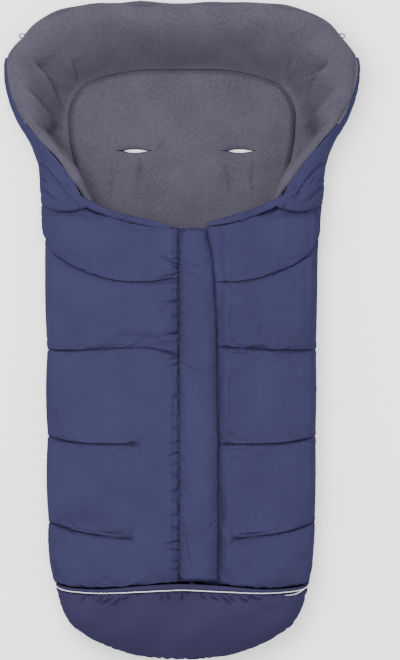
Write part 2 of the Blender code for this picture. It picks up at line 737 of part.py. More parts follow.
def make_flap():
    """The padded storm flap, sewn to the left panel, and its facing underneath."""
    left = LEFT_EDGE_X + GAP / 2
    ys = [between(FLAP_BOTTOM, ZIP_TOP, share) for share in FLAP_ROW_SHARES]
    layers = [[], [], [], []]
    for y, edge_share in zip(ys, FLAP_EDGE_SHARES):
        width = FLAP_RIGHT_X * edge_share - left
        for layer in layers:
            layer.append([])
        for across in FLAP_ACROSS_SHARES:
            x = left + width * across
            free = ease((1.0 - across) / FLAP_FREE_SHARE)
            lift = FLAP_CLEARANCE * ease(across / FLAP_SEWN_SHARE) * free
            low = FLAP_Z + lift - FLAP_DROOP * (1.0 - free)
            round_off = FLAP_THICKNESS * (1 - FLAP_EDGE_ROUND_SHARE * (2 * across - 1) ** 4)
            crown = FLAP_CROWN * math.sin(math.pi * across)
            trim = 0.0
            if edge_share == FLAP_EDGE_SHARES[-1]:
                trim = FLAP_CORNER * (1 - ease(across / FLAP_CORNER_SHARE))
            place = (x, y - trim - LENGTH / 2)
            heights = (low + round_off + crown, low + SKIN + GAP, low + SKIN, low)
            for layer, z in zip(layers, heights):
                layer[-1].append(Vector((*place, z)))
    solid_from_grids("storm_flap", layers[0], layers[1], NAVY, 0.6)
    solid_from_grids("storm_flap_facing", layers[2], layers[3], NAVY, 0.6)


def plan(points):
    """Points measured from the foot end, as world X and Y."""
    return [(x, y - LENGTH / 2) for x, y in points]


def make_tapes():
    """The two tapes. The right one is cut back where the slider parks at either end."""
    low, top = ZIP_BOTTOM - TAPE_TAIL, ZIP_TOP
    left, near = LEFT_EDGE_X + GAP, ZIP_X - TAPE_IN
    outline = plan([(left, low), (near, low), (near, top), (left, top)])
    base = ZIP_Z - TAPE_THICKNESS
    flat_curve("zip_tape_left", [outline], base, ZIP_Z, NAVY_DARK, 0.8)
    right, near, back = RIGHT_EDGE_X - GAP, ZIP_X + TAPE_IN, ZIP_X + SLIDER_CLEAR
    outline = plan([
        (right, low), (right, top), (back, top), (back, RIGHT_TOP), (near, RIGHT_TOP),
        (near, RIGHT_BOTTOM), (back, RIGHT_BOTTOM), (back, low),
    ])
    flat_curve("zip_tape_right", [outline], base, ZIP_Z, NAVY_DARK, 0.8)


def make_coils():
    """The two coils, one on each tape, with the slider's post running between them."""
    inner, outer = COIL_SPLIT / 2, COIL_SPLIT / 2 + COIL_WIDTH
    low, high = (ZIP_X - outer, ZIP_BOTTOM, COIL_Z), (ZIP_X - inner, ZIP_TOP - PARK_GAP, COIL_TOP)
    box("zip_coil_left", low, high, NAVY_DARK, 0.45)
    low, high = (ZIP_X + inner, RIGHT_BOTTOM, COIL_Z), (ZIP_X + outer, RIGHT_TOP, COIL_TOP)
    box("zip_coil_right", low, high, NAVY_DARK, 0.45)


def join(target, name, low, high):
    """Weld a block on to a mesh with a union that stays live."""
    piece = box(name, low, high, BRIGHT, 0.3, 1.0)
    parts.objects.unlink(piece)
    helpers.objects.link(piece)
    piece.hide_render = True
    piece.display_type = "WIRE"
    union = target.modifiers.new(name, "BOOLEAN")
    union.operation = "UNION"
    union.object = piece


def make_slider():
    """Two plates joined by a post, and two lugs that hold the puller."""
    half, start, end = SLIDER_WIDTH / 2, ZIP_TOP - SLIDER_LENGTH, ZIP_TOP
    plate_top = PLATE_Z + SLIDER_PLATE
    low, high = (ZIP_X - half, start, PLATE_Z), (ZIP_X + half, end, plate_top)
    slider = box("zip_slider", low, high, BRIGHT, 0.3, 1.0)
    post, sunk = SLIDER_POST / 2, SLIDER_PLATE / 2
    low = (ZIP_X - post, start + SLIDER_LENGTH / 3, UNDER_Z - sunk)
    join(slider, "slider_post", low, (ZIP_X + post, end - SLIDER_LENGTH / 8, PLATE_Z + sunk))
    low, high = (ZIP_X - half, start, UNDER_Z - SLIDER_PLATE), (ZIP_X + half, end, UNDER_Z)
    join(slider, "slider_under", low, high)
    inner = PULLER_WIDTH / 2 + GAP
    for name, x in (("left", ZIP_X - inner - LUG_WIDTH), ("right", ZIP_X + inner)):
        low = (x, end - LUG_LENGTH, PLATE_Z + sunk)
        high = (x + LUG_WIDTH, end - GAP, plate_top + LUG_HEIGHT)
        join(slider, "slider_lug_" + name, low, high)


def make_puller():
    """The pull tab, lying towards the foot with its pivot between the slider's lugs."""
    head, nose = ZIP_TOP - PIVOT_INSET / 2, PULLER_WIDTH / 2
    tip = ZIP_TOP - PIVOT_INSET - PULLER_LENGTH
    outline = [(ZIP_X + nose, head), (ZIP_X - nose, head)]
    for k in range(NOSE_STEPS + 1):
        angle = math.pi + math.pi * k / NOSE_STEPS
        outline.append((ZIP_X + nose * math.cos(angle), tip + nose + nose * math.sin(angle)))
    base = PLATE_Z + SLIDER_PLATE + PULLER_LIFT
    flat_curve("zip_puller", [plan(outline)], base, base + PULLER_THICKNESS, BRIGHT, 0.3, 1.0)


def make_stops():
    """The crimped stops at the zip's ends."""
    start, end = ZIP_TOP - STOP_SIZE - GAP, ZIP_TOP - GAP
    for name, x in (("left", ZIP_X - SLIDER_CLEAR - STOP_SIZE), ("right", ZIP_X + SLIDER_CLEAR)):
        low, high = (x, start, COIL_Z), (x + STOP_SIZE, end, COIL_TOP)
        box("zip_top_stop_" + name, low, high, BRIGHT, 0.3, 1.0)
    half = SLIDER_WIDTH / 3
    low = (ZIP_X - half, FOOT_LENGTH + GAP, ZIP_Z - 2 * TAPE_THICKNESS)
    high = (ZIP_X + half, ZIP_BOTTOM - TAPE_TAIL - GAP, ZIP_Z + TAPE_THICKNESS)
    box("zip_bottom_stop", low, high, BRIGHT, 0.3, 1.0)


def hang(piece, carrier):
    """Let a piece follow its carrier, from where it lies now."""
    piece.parent = carrier
    piece.matrix_parent_inverse = Matrix.Translation(carrier.location).inverted()


def pivot(name, place, carrier, names):
    """An empty on a joint's axis, and the pieces that turn on it."""
    empty = bpy.data.objects.new(name, None)
    empty.empty_display_size = SLIDER_LENGTH
    empty.location = place
    parts.objects.link(empty)
    if carrier:
        hang(empty, carrier)
    for piece in names:
        hang(parts.objects[piece], empty)
    return empty


def make_pivots():
    """Each front panel turns on its side seam, the flap on its own, the puller on its lugs."""
    out, fold = half_width(SHOULDER_LENGTH) + HINGE_OUTSET, SIDE_SEAM_HEIGHT + GAP / 2
    fronts = []
    for side, x in (("left", -out), ("right", out)):
        names = [side + "_panel" + layer for layer in ("_outer", "_wadding", "_lining")]
        names += [side + "_collar", "zip_tape_" + side, "zip_coil_" + side]
        names += ["zip_top_stop_" + side]
        place = (x, SHOULDER_LENGTH - LENGTH / 2, fold)
        fronts.append(pivot(side + "_front_pivot", place, None, names))
    seam = FLAP_Z + FLAP_THICKNESS * (1 - FLAP_EDGE_ROUND_SHARE)
    place = (LEFT_EDGE_X + GAP / 2, (FLAP_BOTTOM + ZIP_TOP) / 2 - LENGTH / 2, seam)
    pivot("storm_flap_pivot", place, fronts[0], ["storm_flap", "storm_flap_facing"])
    slider = parts.objects["zip_slider"]
    hang(slider, fronts[0])
    height = PLATE_Z + SLIDER_PLATE + PULLER_LIFT + PULLER_THICKNESS / 2
    place = (ZIP_X, ZIP_TOP - PIVOT_INSET - LENGTH / 2, height)
    pivot("zip_puller_pivot", place, slider, ["zip_puller"])


start_scene()
helpers = bpy.data.collections.new("helpers")
bpy.context.scene.collection.children.link(helpers)

foot, body, hood = foot_rows(), body_rows(), hood_rows()
shoulder = hood[0].shifted(-GAP)
make_back(full_loop(foot + body + hood, True)[:-1])
make_side(full_loop(foot + body + [shoulder], True))
make_hood(full_loop(hood, False))
make_foot(full_loop(foot, True))
make_hem()
make_panel("left_panel", -1, -LEFT_EDGE_X, 0.0, LEFT_COLUMN_SHARES)
make_panel("right_panel", 1, RIGHT_EDGE_X, FLAP_RIGHT_X - RIGHT_EDGE_X, RIGHT_COLUMN_SHARES)
make_collar("left_collar", -1, -LEFT_EDGE_X)
make_collar("right_collar", 1, RIGHT_EDGE_X)
make_flap()
make_tapes()
make_coils()
make_slider()
make_puller()
make_stops()
make_pivots()
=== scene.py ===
import math

import bmesh
import bpy
import numpy as np
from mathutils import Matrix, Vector


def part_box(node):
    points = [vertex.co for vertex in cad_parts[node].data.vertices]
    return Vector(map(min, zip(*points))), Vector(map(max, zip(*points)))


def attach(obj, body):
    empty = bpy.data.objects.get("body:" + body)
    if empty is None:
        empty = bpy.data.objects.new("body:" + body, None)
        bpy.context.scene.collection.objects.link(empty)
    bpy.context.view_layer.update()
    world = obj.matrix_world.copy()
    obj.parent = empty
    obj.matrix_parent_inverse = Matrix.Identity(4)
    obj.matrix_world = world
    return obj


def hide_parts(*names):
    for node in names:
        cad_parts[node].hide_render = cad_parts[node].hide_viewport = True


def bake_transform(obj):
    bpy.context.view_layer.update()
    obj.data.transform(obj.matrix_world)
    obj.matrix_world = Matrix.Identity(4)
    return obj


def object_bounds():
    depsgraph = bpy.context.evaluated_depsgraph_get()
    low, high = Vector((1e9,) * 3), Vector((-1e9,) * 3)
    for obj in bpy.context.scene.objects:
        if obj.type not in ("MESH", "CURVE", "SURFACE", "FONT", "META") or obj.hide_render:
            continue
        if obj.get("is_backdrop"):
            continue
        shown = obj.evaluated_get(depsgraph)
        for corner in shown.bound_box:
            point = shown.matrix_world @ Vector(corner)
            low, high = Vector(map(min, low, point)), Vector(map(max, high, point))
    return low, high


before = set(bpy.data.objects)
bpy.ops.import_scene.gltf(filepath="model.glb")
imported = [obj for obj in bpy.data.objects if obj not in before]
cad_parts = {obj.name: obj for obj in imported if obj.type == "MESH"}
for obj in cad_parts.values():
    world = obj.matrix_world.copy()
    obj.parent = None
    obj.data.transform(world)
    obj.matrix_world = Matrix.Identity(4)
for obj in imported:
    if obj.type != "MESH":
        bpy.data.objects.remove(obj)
cad_low, cad_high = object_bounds()

# Back skin
# The face that lies on the seat: one piece of navy polyester taffeta, cut to the plan of the
# whole bag, with five harness slits through it and a bound edge sewn to the walls all round.
LENGTH = cad_high.y - cad_low.y
HOOD_WIDTH = cad_high.x - cad_low.x
BODY_WIDTH = 0.388
FOOT_LENGTH = 0.1036
SHOULDER_LENGTH = 0.662
HOOD_LENGTH = LENGTH - SHOULDER_LENGTH
HALF_BODY, HALF_HOOD = BODY_WIDTH / 2, HOOD_WIDTH / 2
SEAM_HEIGHT = 0.045
BODY_CURVE = 0.052
FOOT_CURVE = 0.045
SKIN = 0.001
FLEECE = 0.002
WALL = 0.016
GAP = 0.0003
BACK_THICKNESS = 0.0153
RIM_REACH = 0.100
RIM_HEIGHT_HEAD, RIM_HEIGHT_SHOULDER = 0.080, 0.098
HEAD_SPINE_SHARE = 0.335
FOOT_SHARES = [
    (0.000, 0.000), (0.250, 0.030), (0.525, 0.158), (0.710, 0.330), (0.828, 0.490),
    (0.884, 0.666), (0.942, 1.000),
]
BODY_SHARES = [
    (0.970, 0.063), (0.990, 0.150), (0.997, 0.380), (1.000, 0.620), (1.007, 0.820),
    (1.014, 0.880), (1.031, 0.965),
]
# Flare over the body, share of the hood's length, wall width, rim inset, rise and tilt
SHOULDER_SHARES = [
    (0.140, 0.000, 1.00, 0.645, 1.00, 0.018), (0.172, 0.075, 0.98, 0.520, 0.95, 0.08),
    (0.205, 0.178, 0.96, 0.330, 0.85, 0.09), (0.390, 0.297, 1.06, 0.165, 0.65, 0.05),
    (0.712, 0.416, 1.42, 0.100, 0.40, 0.0), (0.920, 0.535, 1.72, 0.075, 0.20, 0.0),
]
# Half width, share of the hood's length, wall width, rim inset and rise
HEAD_SHARES = [
    (1.000, 0.640, 0.382, 0.060, 0.10), (0.996, 0.712, 0.405, 0.050, 0.00),
    (0.953, 0.780, 0.414, 0.045, 0.00), (0.905, 0.828, 0.434, 0.040, 0.00),
    (0.843, 0.893, 0.463, 0.035, 0.00), (0.710, 0.953, 0.486, 0.030, 0.00),
    (0.485, 0.996, 0.495, 0.030, 0.00), (0.240, 1.000, 0.493, 0.030, 0.00),
    (0.000, 1.000, 0.490, 0.030, 0.00),
]


def pattern():
    """The plan's right half, foot to head: x, y, spine y, wall width, rim inset and rise."""
    rows = []
    for x, y in FOOT_SHARES:
        rows.append((x * HALF_BODY, y * FOOT_LENGTH, FOOT_LENGTH, FOOT_CURVE, 0.0, 0.0))
    for x, share in BODY_SHARES:
        y = FOOT_LENGTH + (SHOULDER_LENGTH - FOOT_LENGTH) * share
        rows.append((x * HALF_BODY, y, y, BODY_CURVE, 0.0, 0.0))
    limit = SHOULDER_LENGTH + HEAD_SPINE_SHARE * HOOD_LENGTH
    for flare, share, curve, inset, rise, tilt in SHOULDER_SHARES:
        x = HALF_BODY + flare * (HALF_HOOD - HALF_BODY)
        y = SHOULDER_LENGTH + share * HOOD_LENGTH
        spine = min(y + tilt * x, limit)
        rows.append((x, y, spine, BODY_CURVE * curve, RIM_REACH * inset, rise))
    for x, share, seam, inset, rise in HEAD_SHARES:
        x, y = x * HALF_HOOD, SHOULDER_LENGTH + share * HOOD_LENGTH
        width = math.hypot(x, y - limit)
        rows.append((x, y, limit, width * seam, RIM_REACH * inset, rise))
    table = np.array(rows)
    table[:, 1:3] -= LENGTH / 2
    return table


PLAN = pattern()
FOOT_ROWS, SIDE_ROWS = len(FOOT_SHARES), len(FOOT_SHARES) + len(BODY_SHARES)


def mirrored(rows):
    """The same points on the other side of the middle line."""
    return rows * np.array([-1.0] + [1.0] * (rows.shape[-1] - 1))


def lengths_along(line):
    """How far along a line of points each of them lies."""
    return np.concatenate([[0.0], np.cumsum(np.linalg.norm(np.diff(line, axis=0), axis=1))])


def follow(table, count):
    """Evenly spaced rows on a smooth curve through a table's rows."""
    marks = lengths_along(table[:, :2])
    slopes = np.gradient(table, marks, axis=0)
    at = np.linspace(0.0, marks[-1], count)
    k = np.clip(np.searchsorted(marks, at) - 1, 0, len(marks) - 2)
    span = (marks[k + 1] - marks[k])[:, None]
    s = (at - marks[k])[:, None] / span
    return (
        table[k] * (2 * s ** 3 - 3 * s ** 2 + 1) + table[k + 1] * (3 * s ** 2 - 2 * s ** 3)
        + slopes[k] * span * (s ** 3 - 2 * s ** 2 + s) + slopes[k + 1] * span * (s ** 3 - s ** 2)
    )


def place(rows, inset, z):
    """Points at an inset from the outline and a height, one line of them for each row."""
    inward = np.column_stack([-rows[:, 0], rows[:, 2] - rows[:, 1]])
    inward /= np.linalg.norm(inward, axis=1)[:, None]
    flat = rows[:, None, :2] + inward[:, None, :] * inset[..., None]
    return np.concatenate([flat, np.broadcast_to(z, inset.shape)[..., None]], axis=2)


def ease(share):
    """A share from 0 to 1 that starts and ends softly."""
    share = np.clip(share, 0.0, 1.0)
    return share * share * (3 - 2 * share)


def ripple(a, b, size, seed):
    """Smooth unevenness between about -1 and 1, of one typical size."""
    rng = np.random.default_rng(seed)
    total = np.zeros(np.broadcast(a, b).shape)
    for angle, phase, pace in rng.uniform(0.0, 1.0, (9, 3)):
        k = 2 * math.pi / size * (0.6 + pace)
        turn = 2 * math.pi * angle
        total += np.sin(k * (a * math.cos(turn) + b * math.sin(turn)) + 2 * math.pi * phase)
    return total / 3.6


def quads(index):
    """The four corners of every cell of a grid of point numbers."""
    return np.stack([index[:-1, :-1], index[:-1, 1:], index[1:, 1:], index[1:, :-1]], -1).reshape(-1, 4)


def numbered(grid):
    """The number of each point of a grid, row by row."""
    return np.arange(grid.shape[0] * grid.shape[1]).reshape(grid.shape[:2])


def make_piece(name, points, faces, material, weld=0.0, dissolve=0.0):
    """A smooth mesh object with its faces turned out, welded and rid of slivers where asked."""
    mesh = bpy.data.meshes.new(name)
    mesh.from_pydata(points.reshape(-1, 3).tolist(), [], faces)
    bm = bmesh.new()
    bm.from_mesh(mesh)
    if weld:
        bmesh.ops.remove_doubles(bm, verts=bm.verts, dist=weld)
    if dissolve:
        bmesh.ops.dissolve_degenerate(bm, edges=bm.edges, dist=dissolve)
    bmesh.ops.recalc_face_normals(bm, faces=bm.faces)
    bm.to_mesh(mesh)
    bm.free()
    mesh.shade_smooth()
    mesh.materials.append(material)
    obj = bpy.data.objects.new(name, mesh)
    bpy.context.scene.collection.objects.link(obj)
    return obj


SEWN_WELD = 0.000002


def sewn(name, top, low, material, faces=None, angle=55):
    """A closed piece of cloth or padding between two sheets with one pattern of faces, which is
    a grid's unless it is given."""
    if faces is None:
        faces = quads(numbered(top))
    top, low = top.reshape(-1, 3), low.reshape(-1, 3)
    count = len(top)
    edges = np.concatenate([faces[:, [k, (k + 1) % 4]] for k in range(4)])
    there, back = edges[:, 0] * count + edges[:, 1], edges[:, 1] * count + edges[:, 0]
    rim = edges[~np.isin(there, back)]
    walls = np.column_stack([rim[:, 1], rim[:, 0], rim[:, 0] + count, rim[:, 1] + count])
    faces = np.concatenate([faces, faces[:, ::-1] + count, walls]).tolist()
    obj = make_piece(name, np.concatenate([top, low]), faces, material, SEWN_WELD, SEWN_WELD)
    obj.data.set_sharp_from_angle(angle=math.radians(angle))
    return obj


def normals(grid, towards):
    """Unit normals of a grid, on the side that a direction points to."""
    across, along = np.gradient(grid, axis=1), np.gradient(grid, axis=0)
    n = np.cross(across, along)
    n /= np.maximum(np.linalg.norm(n, axis=2), 1e-12)[..., None]
    sign = np.where((n * towards).sum(axis=2) < 0, -1.0, 1.0)
    return n * sign[..., None]


def node(tree, kind, settings=None, links=None):
    """Add a shader node, set its fields and sockets by name, and link other outputs to it."""
    made = tree.nodes.new(kind)
    for key, value in (settings or {}).items():
        if isinstance(key, str) and hasattr(made, key):
            setattr(made, key, value)
        else:
            made.inputs[key].default_value = value
    for key, output in (links or {}).items():
        tree.links.new(output, made.inputs[key])
    return made


def dye(code):
    """An sRGB hex colour as Blender's linear colour."""
    values = [int(code[k:k + 2], 16) / 255 for k in (1, 3, 5)]
    return [v / 12.92 if v <= 0.04045 else ((v + 0.055) / 1.055) ** 2.4 for v in values] + [1.0]


def cloth(name, roughness, sheen=0.0, sheen_tint="#ffffff"):
    """An empty cloth material: its tree, its shader and the place on the piece."""
    material = bpy.data.materials.new(name)
    material.use_nodes = True
    tree = material.node_tree
    shader = tree.nodes["Principled BSDF"]
    shader.inputs["Roughness"].default_value = roughness
    shader.inputs["Sheen Weight"].default_value = sheen
    shader.inputs["Sheen Tint"].default_value = dye(sheen_tint)
    shader.inputs["Sheen Roughness"].default_value = 0.45
    spot = node(tree, "ShaderNodeTexCoord").outputs["Object"]
    return material, tree, shader, spot


def taffeta(name, light, dark):
    """Polyester taffeta, plain woven: the threads' fine ribs, slight changes of tone from
    thread to thread and where the filling pushes up, and a trace of bluish sheen. The ribs
    scatter what a smooth surface would reflect along the sides, so it has no specular level."""
    material, tree, shader, spot = cloth(name, 0.66, 0.02, "#8a90cf")
    shader.inputs["Specular IOR Level"].default_value = 0.0
    slow = node(tree, "ShaderNodeTexNoise", {"Scale": 1 / 0.070, "Detail": 2.0}, {"Vector": spot})
    fine = node(tree, "ShaderNodeTexNoise", {"Scale": 1 / 0.0016, "Detail": 2.0}, {"Vector": spot})
    both = node(tree, "ShaderNodeMath", {"operation": "MULTIPLY_ADD", 1: 0.5},
                {0: fine.outputs["Fac"], 2: slow.outputs["Fac"]})
    ramp = node(tree, "ShaderNodeValToRGB", None, {"Fac": both.outputs[0]})
    ramp.color_ramp.elements[0].position = 0.35
    ramp.color_ramp.elements[1].position = 1.15
    ramp.color_ramp.elements[0].color = dye(dark)
    ramp.color_ramp.elements[1].color = dye(light)
    tree.links.new(ramp.outputs["Color"], shader.inputs["Base Color"])
    # Threads are 0.2 mm apart; they are drawn at 0.8 mm, the finest that still shows
    warp = node(tree, "ShaderNodeTexWave", {"bands_direction": "X", "Scale": 1 / 0.0050},
                {"Vector": spot})
    weft = node(tree, "ShaderNodeTexWave", {"bands_direction": "Y", "Scale": 1 / 0.0050},
                {"Vector": spot})
    weave = node(tree, "ShaderNodeMath", {"operation": "ADD"},
                 {0: warp.outputs["Fac"], 1: weft.outputs["Fac"]})
    crumple = node(tree, "ShaderNodeTexNoise", {"Scale": 1 / 0.009, "Detail": 3.0}, {"Vector": spot})
    height = node(tree, "ShaderNodeMath", {"operation": "MULTIPLY_ADD", 1: 0.12},
                  {0: weave.outputs[0], 2: crumple.outputs["Fac"]})
    bump = node(tree, "ShaderNodeBump", {"Strength": 0.30, "Distance": 0.0005},
                {"Height": height.outputs[0]})
    tree.links.new(bump.outputs["Normal"], shader.inputs["Normal"])
    return material


shell_navy = taffeta("navy_taffeta", "#363553", "#302f4a")

# The slits: where each is, measured from the foot end
SLIT_LENGTH = 0.058
SLIT_GAPE = 0.0066
SLIT_GAPE_AT = 0.003
SLIT_SHIFT = 0.0055
SHOULDER_SLIT = (0.0765, SHOULDER_LENGTH + 0.2662 * HOOD_LENGTH)
HIP_SLIT = (0.090, SHOULDER_LENGTH - 0.212)
CROTCH_SLIT = SHOULDER_LENGTH - 0.272
SLITS = {
    "left_shoulder": (SLIT_SHIFT - SHOULDER_SLIT[0], SHOULDER_SLIT[1] - LENGTH / 2),
    "right_shoulder": (SLIT_SHIFT + SHOULDER_SLIT[0], SHOULDER_SLIT[1] - LENGTH / 2),
    "left_hip": (-HIP_SLIT[0], HIP_SLIT[1] - LENGTH / 2),
    "right_hip": (HIP_SLIT[0], HIP_SLIT[1] - LENGTH / 2),
    "crotch": (0.0, CROTCH_SLIT - LENGTH / 2),
}
PAD_END_REACH = 0.070
SEAM_POINTS = 900
LIP_PUSH_REACH, LIP_WIDTH = 0.010, 0.0035


def slit_opening(x):
    """Half the gap between a slit's lips, and how near its end, along it from its middle."""
    x = np.asarray(x, float) - SLIT_GAPE_AT
    reach = SLIT_LENGTH / 2 - np.sign(x) * SLIT_GAPE_AT
    share = np.clip(np.abs(x) / reach, 0, 1)
    return SLIT_GAPE / 2 * np.cos(share * math.pi / 2) ** 1.6, share


def floor_sheet(columns, rows, tuck):
    """A flat grid that fills the floor seam's outline, cut open along the slits."""
    seam = place(PLAN, PLAN[:, 3:4] + tuck, np.array(0.0))[:, 0, :2]
    right = follow(seam, SEAM_POINTS)
    # The corner rows are where the outline turns from mostly across to mostly along
    run = np.abs(np.gradient(right[:, 0])) < np.abs(np.gradient(right[:, 1]))
    first, last = np.argmax(run), len(run) - 1 - np.argmax(run[::-1])
    side = right[first:last + 1]
    y = np.linspace(side[0, 1], side[-1, 1], rows)
    for _, slit_y in SLITS.values():
        y[np.argmin(np.abs(y - slit_y))] = slit_y
    w = np.interp(y, side[:, 1], side[:, 0])
    t = np.linspace(-1.0, 1.0, columns)
    x = w[:, None] * t[None, :]
    grid_y = np.repeat(y[:, None], columns, axis=1)
    for end, corner in ((right[:first + 1], 0), (right[last:][::-1], -1)):
        lengths = lengths_along(end)
        share = lengths / lengths[-1]
        ex = np.interp(np.abs(t), share, end[:, 0]) * np.sign(t)
        ey = np.interp(np.abs(t), share, end[:, 1])
        fade = 1 - ease(np.abs(y - y[corner]) / PAD_END_REACH)
        x += fade[:, None] * (ex - w[corner] * t)[None, :]
        grid_y += fade[:, None] * (ey - y[corner])[None, :]
    low_index = np.arange(rows * columns).reshape(rows, columns)
    high_index = low_index.copy()
    points = np.stack([x, grid_y], -1).reshape(-1, 2)
    extra = []
    total = len(points)
    for sx, sy in SLITS.values():
        row = int(np.argmin(np.abs(y - sy)))
        inside = np.abs(x[row] - sx) < SLIT_LENGTH / 2
        for column in np.nonzero(inside)[0]:
            high_index[row, column] = total
            extra.append(points[low_index[row, column]])
            total += 1
    points = np.concatenate([points, np.array(extra)])
    faces = np.stack([
        high_index[:-1, :-1], high_index[:-1, 1:], low_index[1:, 1:], low_index[1:, :-1],
    ], -1).reshape(-1, 4)
    upper = np.zeros(len(points), bool)
    upper[rows * columns:] = True
    lips = np.zeros(len(points))
    for sx, sy in SLITS.values():
        open_by, share = slit_opening(points[:, 0] - sx)
        above = (points[:, 1] > sy + 1e-6) | (upper & (np.abs(points[:, 1] - sy) < 1e-6))
        off = np.abs(points[:, 1] - sy)
        push = open_by * np.exp(-off / LIP_PUSH_REACH) * np.where(above, 1.0, -1.0)
        points[:, 1] += push
        near_end = (share < 1) * np.cos(share * math.pi / 2) ** 0.5
        lips += np.exp(-(off / LIP_WIDTH) ** 2) * near_end
    return points, faces, right, lips


def stacked(points, z):
    """Points of a plan at a height."""
    return np.column_stack([points, np.broadcast_to(z, len(points))])


def cut_size(grid):
    """What a sheet is cut to: its greatest width and length, and the area of the cut."""
    across, along = np.diff(grid, axis=1), np.diff(grid, axis=0)
    width = np.linalg.norm(across, axis=2).sum(axis=1).max()
    length = np.linalg.norm(along, axis=2).sum(axis=0).max()
    cells = np.cross(0.5 * (across[1:] + across[:-1]), 0.5 * (along[:, 1:] + along[:, :-1]))
    return (float(width), float(length)), float(np.linalg.norm(cells, axis=2).sum())


SEAM_ALLOWANCE = 0.0012
SKIN_COLUMNS, SKIN_ROWS = 60, 150
points, faces = floor_sheet(SKIN_COLUMNS, SKIN_ROWS, -SEAM_ALLOWANCE)[:2]
back_skin = sewn("back_skin", stacked(points, 0.8 * SKIN), stacked(points, 0.0), shell_navy, faces)
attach(back_skin, "root")
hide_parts("back_outer")
laid = stacked(points[:SKIN_ROWS * SKIN_COLUMNS], 0.0)
size, area = cut_size(laid.reshape(SKIN_ROWS, SKIN_COLUMNS, 3))

# Back pad
# The fleece that the child lies on, sewn down round its edge over a sheet of hollow fibre, so
# that it swells a little. Each slit is a buttonhole whose lips roll in.
def fleece(name, light, dark):
    """Polyester fleece, knitted and brushed: fully matt, with a mottled nap of 2 to 3 mm tufts
    and a pale bloom where the nap is seen edge on."""
    material, tree, shader, spot = cloth(name, 0.95, 0.12, "#a9a6bb")
    shader.inputs["Specular IOR Level"].default_value = 0.12
    slow = node(tree, "ShaderNodeTexNoise", {"Scale": 1 / 0.045, "Detail": 1.0}, {"Vector": spot})
    nap = node(tree, "ShaderNodeTexNoise", {"Scale": 1 / 0.0030, "Detail": 3.0, "Roughness": 0.65},
               {"Vector": spot})
    uneven = node(tree, "ShaderNodeMath", {"operation": "MULTIPLY", 1: 0.35},
                  {0: slow.outputs["Fac"]})
    both = node(tree, "ShaderNodeMath", {"operation": "ADD"},
                {0: nap.outputs["Fac"], 1: uneven.outputs[0]})
    ramp = node(tree, "ShaderNodeValToRGB", None, {"Fac": both.outputs[0]})
    ramp.color_ramp.elements[0].position = 0.45
    ramp.color_ramp.elements[1].position = 0.90
    ramp.color_ramp.elements[0].color = dye(dark)
    ramp.color_ramp.elements[1].color = dye(light)
    tree.links.new(ramp.outputs["Color"], shader.inputs["Base Color"])
    tuft = node(tree, "ShaderNodeTexNoise", {"Scale": 1 / 0.0012, "Detail": 3.0}, {"Vector": spot})
    height = node(tree, "ShaderNodeMath", {"operation": "MULTIPLY_ADD", 1: 0.5},
                  {0: tuft.outputs["Fac"], 2: nap.outputs["Fac"]})
    bump = node(tree, "ShaderNodeBump", {"Strength": 0.6, "Distance": 0.0009},
                {"Height": height.outputs[0]})
    tree.links.new(bump.outputs["Normal"], shader.inputs["Normal"])
    return material


grey_fleece = fleece("grey_fleece", "#504d59", "#3f3c47")
PIXEL = 0.0014536  # one pixel of the photograph on the object
MIDDLE_PIXEL, FOOT_PIXEL = 182.0, 659.3


def spots(*pixels):
    """Pixels of the photograph as places on the object."""
    table = np.array(pixels, float)
    return np.column_stack([
        (table[:, 0] - MIDDLE_PIXEL) * PIXEL,
        (FOOT_PIXEL - table[:, 1]) * PIXEL - LENGTH / 2,
    ])


def distance_to(points, path):
    """Distance in plan to a line of points, how far along it, and on which side of it."""
    best = np.full(len(points), 1e9)
    along, side = np.zeros(len(points)), np.zeros(len(points))
    run = 0.0
    for a, b in zip(path[:-1], path[1:]):
        span = b - a
        length = np.linalg.norm(span)
        off = points[:, :2] - a
        t = np.clip((off @ span) / length ** 2, 0, 1)
        d = np.linalg.norm(off - t[:, None] * span, axis=1)
        near = d < best
        best[near] = d[near]
        along[near] = (run + t * length)[near]
        side[near] = np.sign(span[0] * off[:, 1] - span[1] * off[:, 0])[near]
        run += length
    return best, along, side, run


def crease(points, path, width, depth, ridge=0.0):
    """A valley along a path, which fades at both ends, and a low ridge on its left."""
    off, along, side, run = distance_to(points, follow(np.asarray(path), 24))
    fade = np.sqrt(np.clip(np.sin(math.pi * np.clip(along / run, 0.02, 0.98)), 0, 1))
    valley = -depth * np.exp(-(off / width) ** 1.5)
    hill = ridge * np.exp(-((off - 2.2 * width) / (1.6 * width)) ** 2) * (side > 0)
    return (valley + hill) * fade


def fold(points, path, drop, reach, low_left=True):
    """Cloth lapped along a path: it drops steeply on one side and slowly comes up again."""
    off, along, side, run = distance_to(points, follow(np.asarray(path), 24))
    fade = ease(along / run / 0.35) * ease((1 - along / run) / 0.34)
    signed = off * side * (1.0 if low_left else -1.0)
    step = 0.5 + 0.5 * np.tanh(signed / 0.0009)
    low = -drop * step * np.exp(-np.maximum(signed, 0) / reach)
    high = 0.45 * drop * (1 - step) * np.exp(np.minimum(signed, 0) / (0.5 * reach))
    return (low + high) * fade


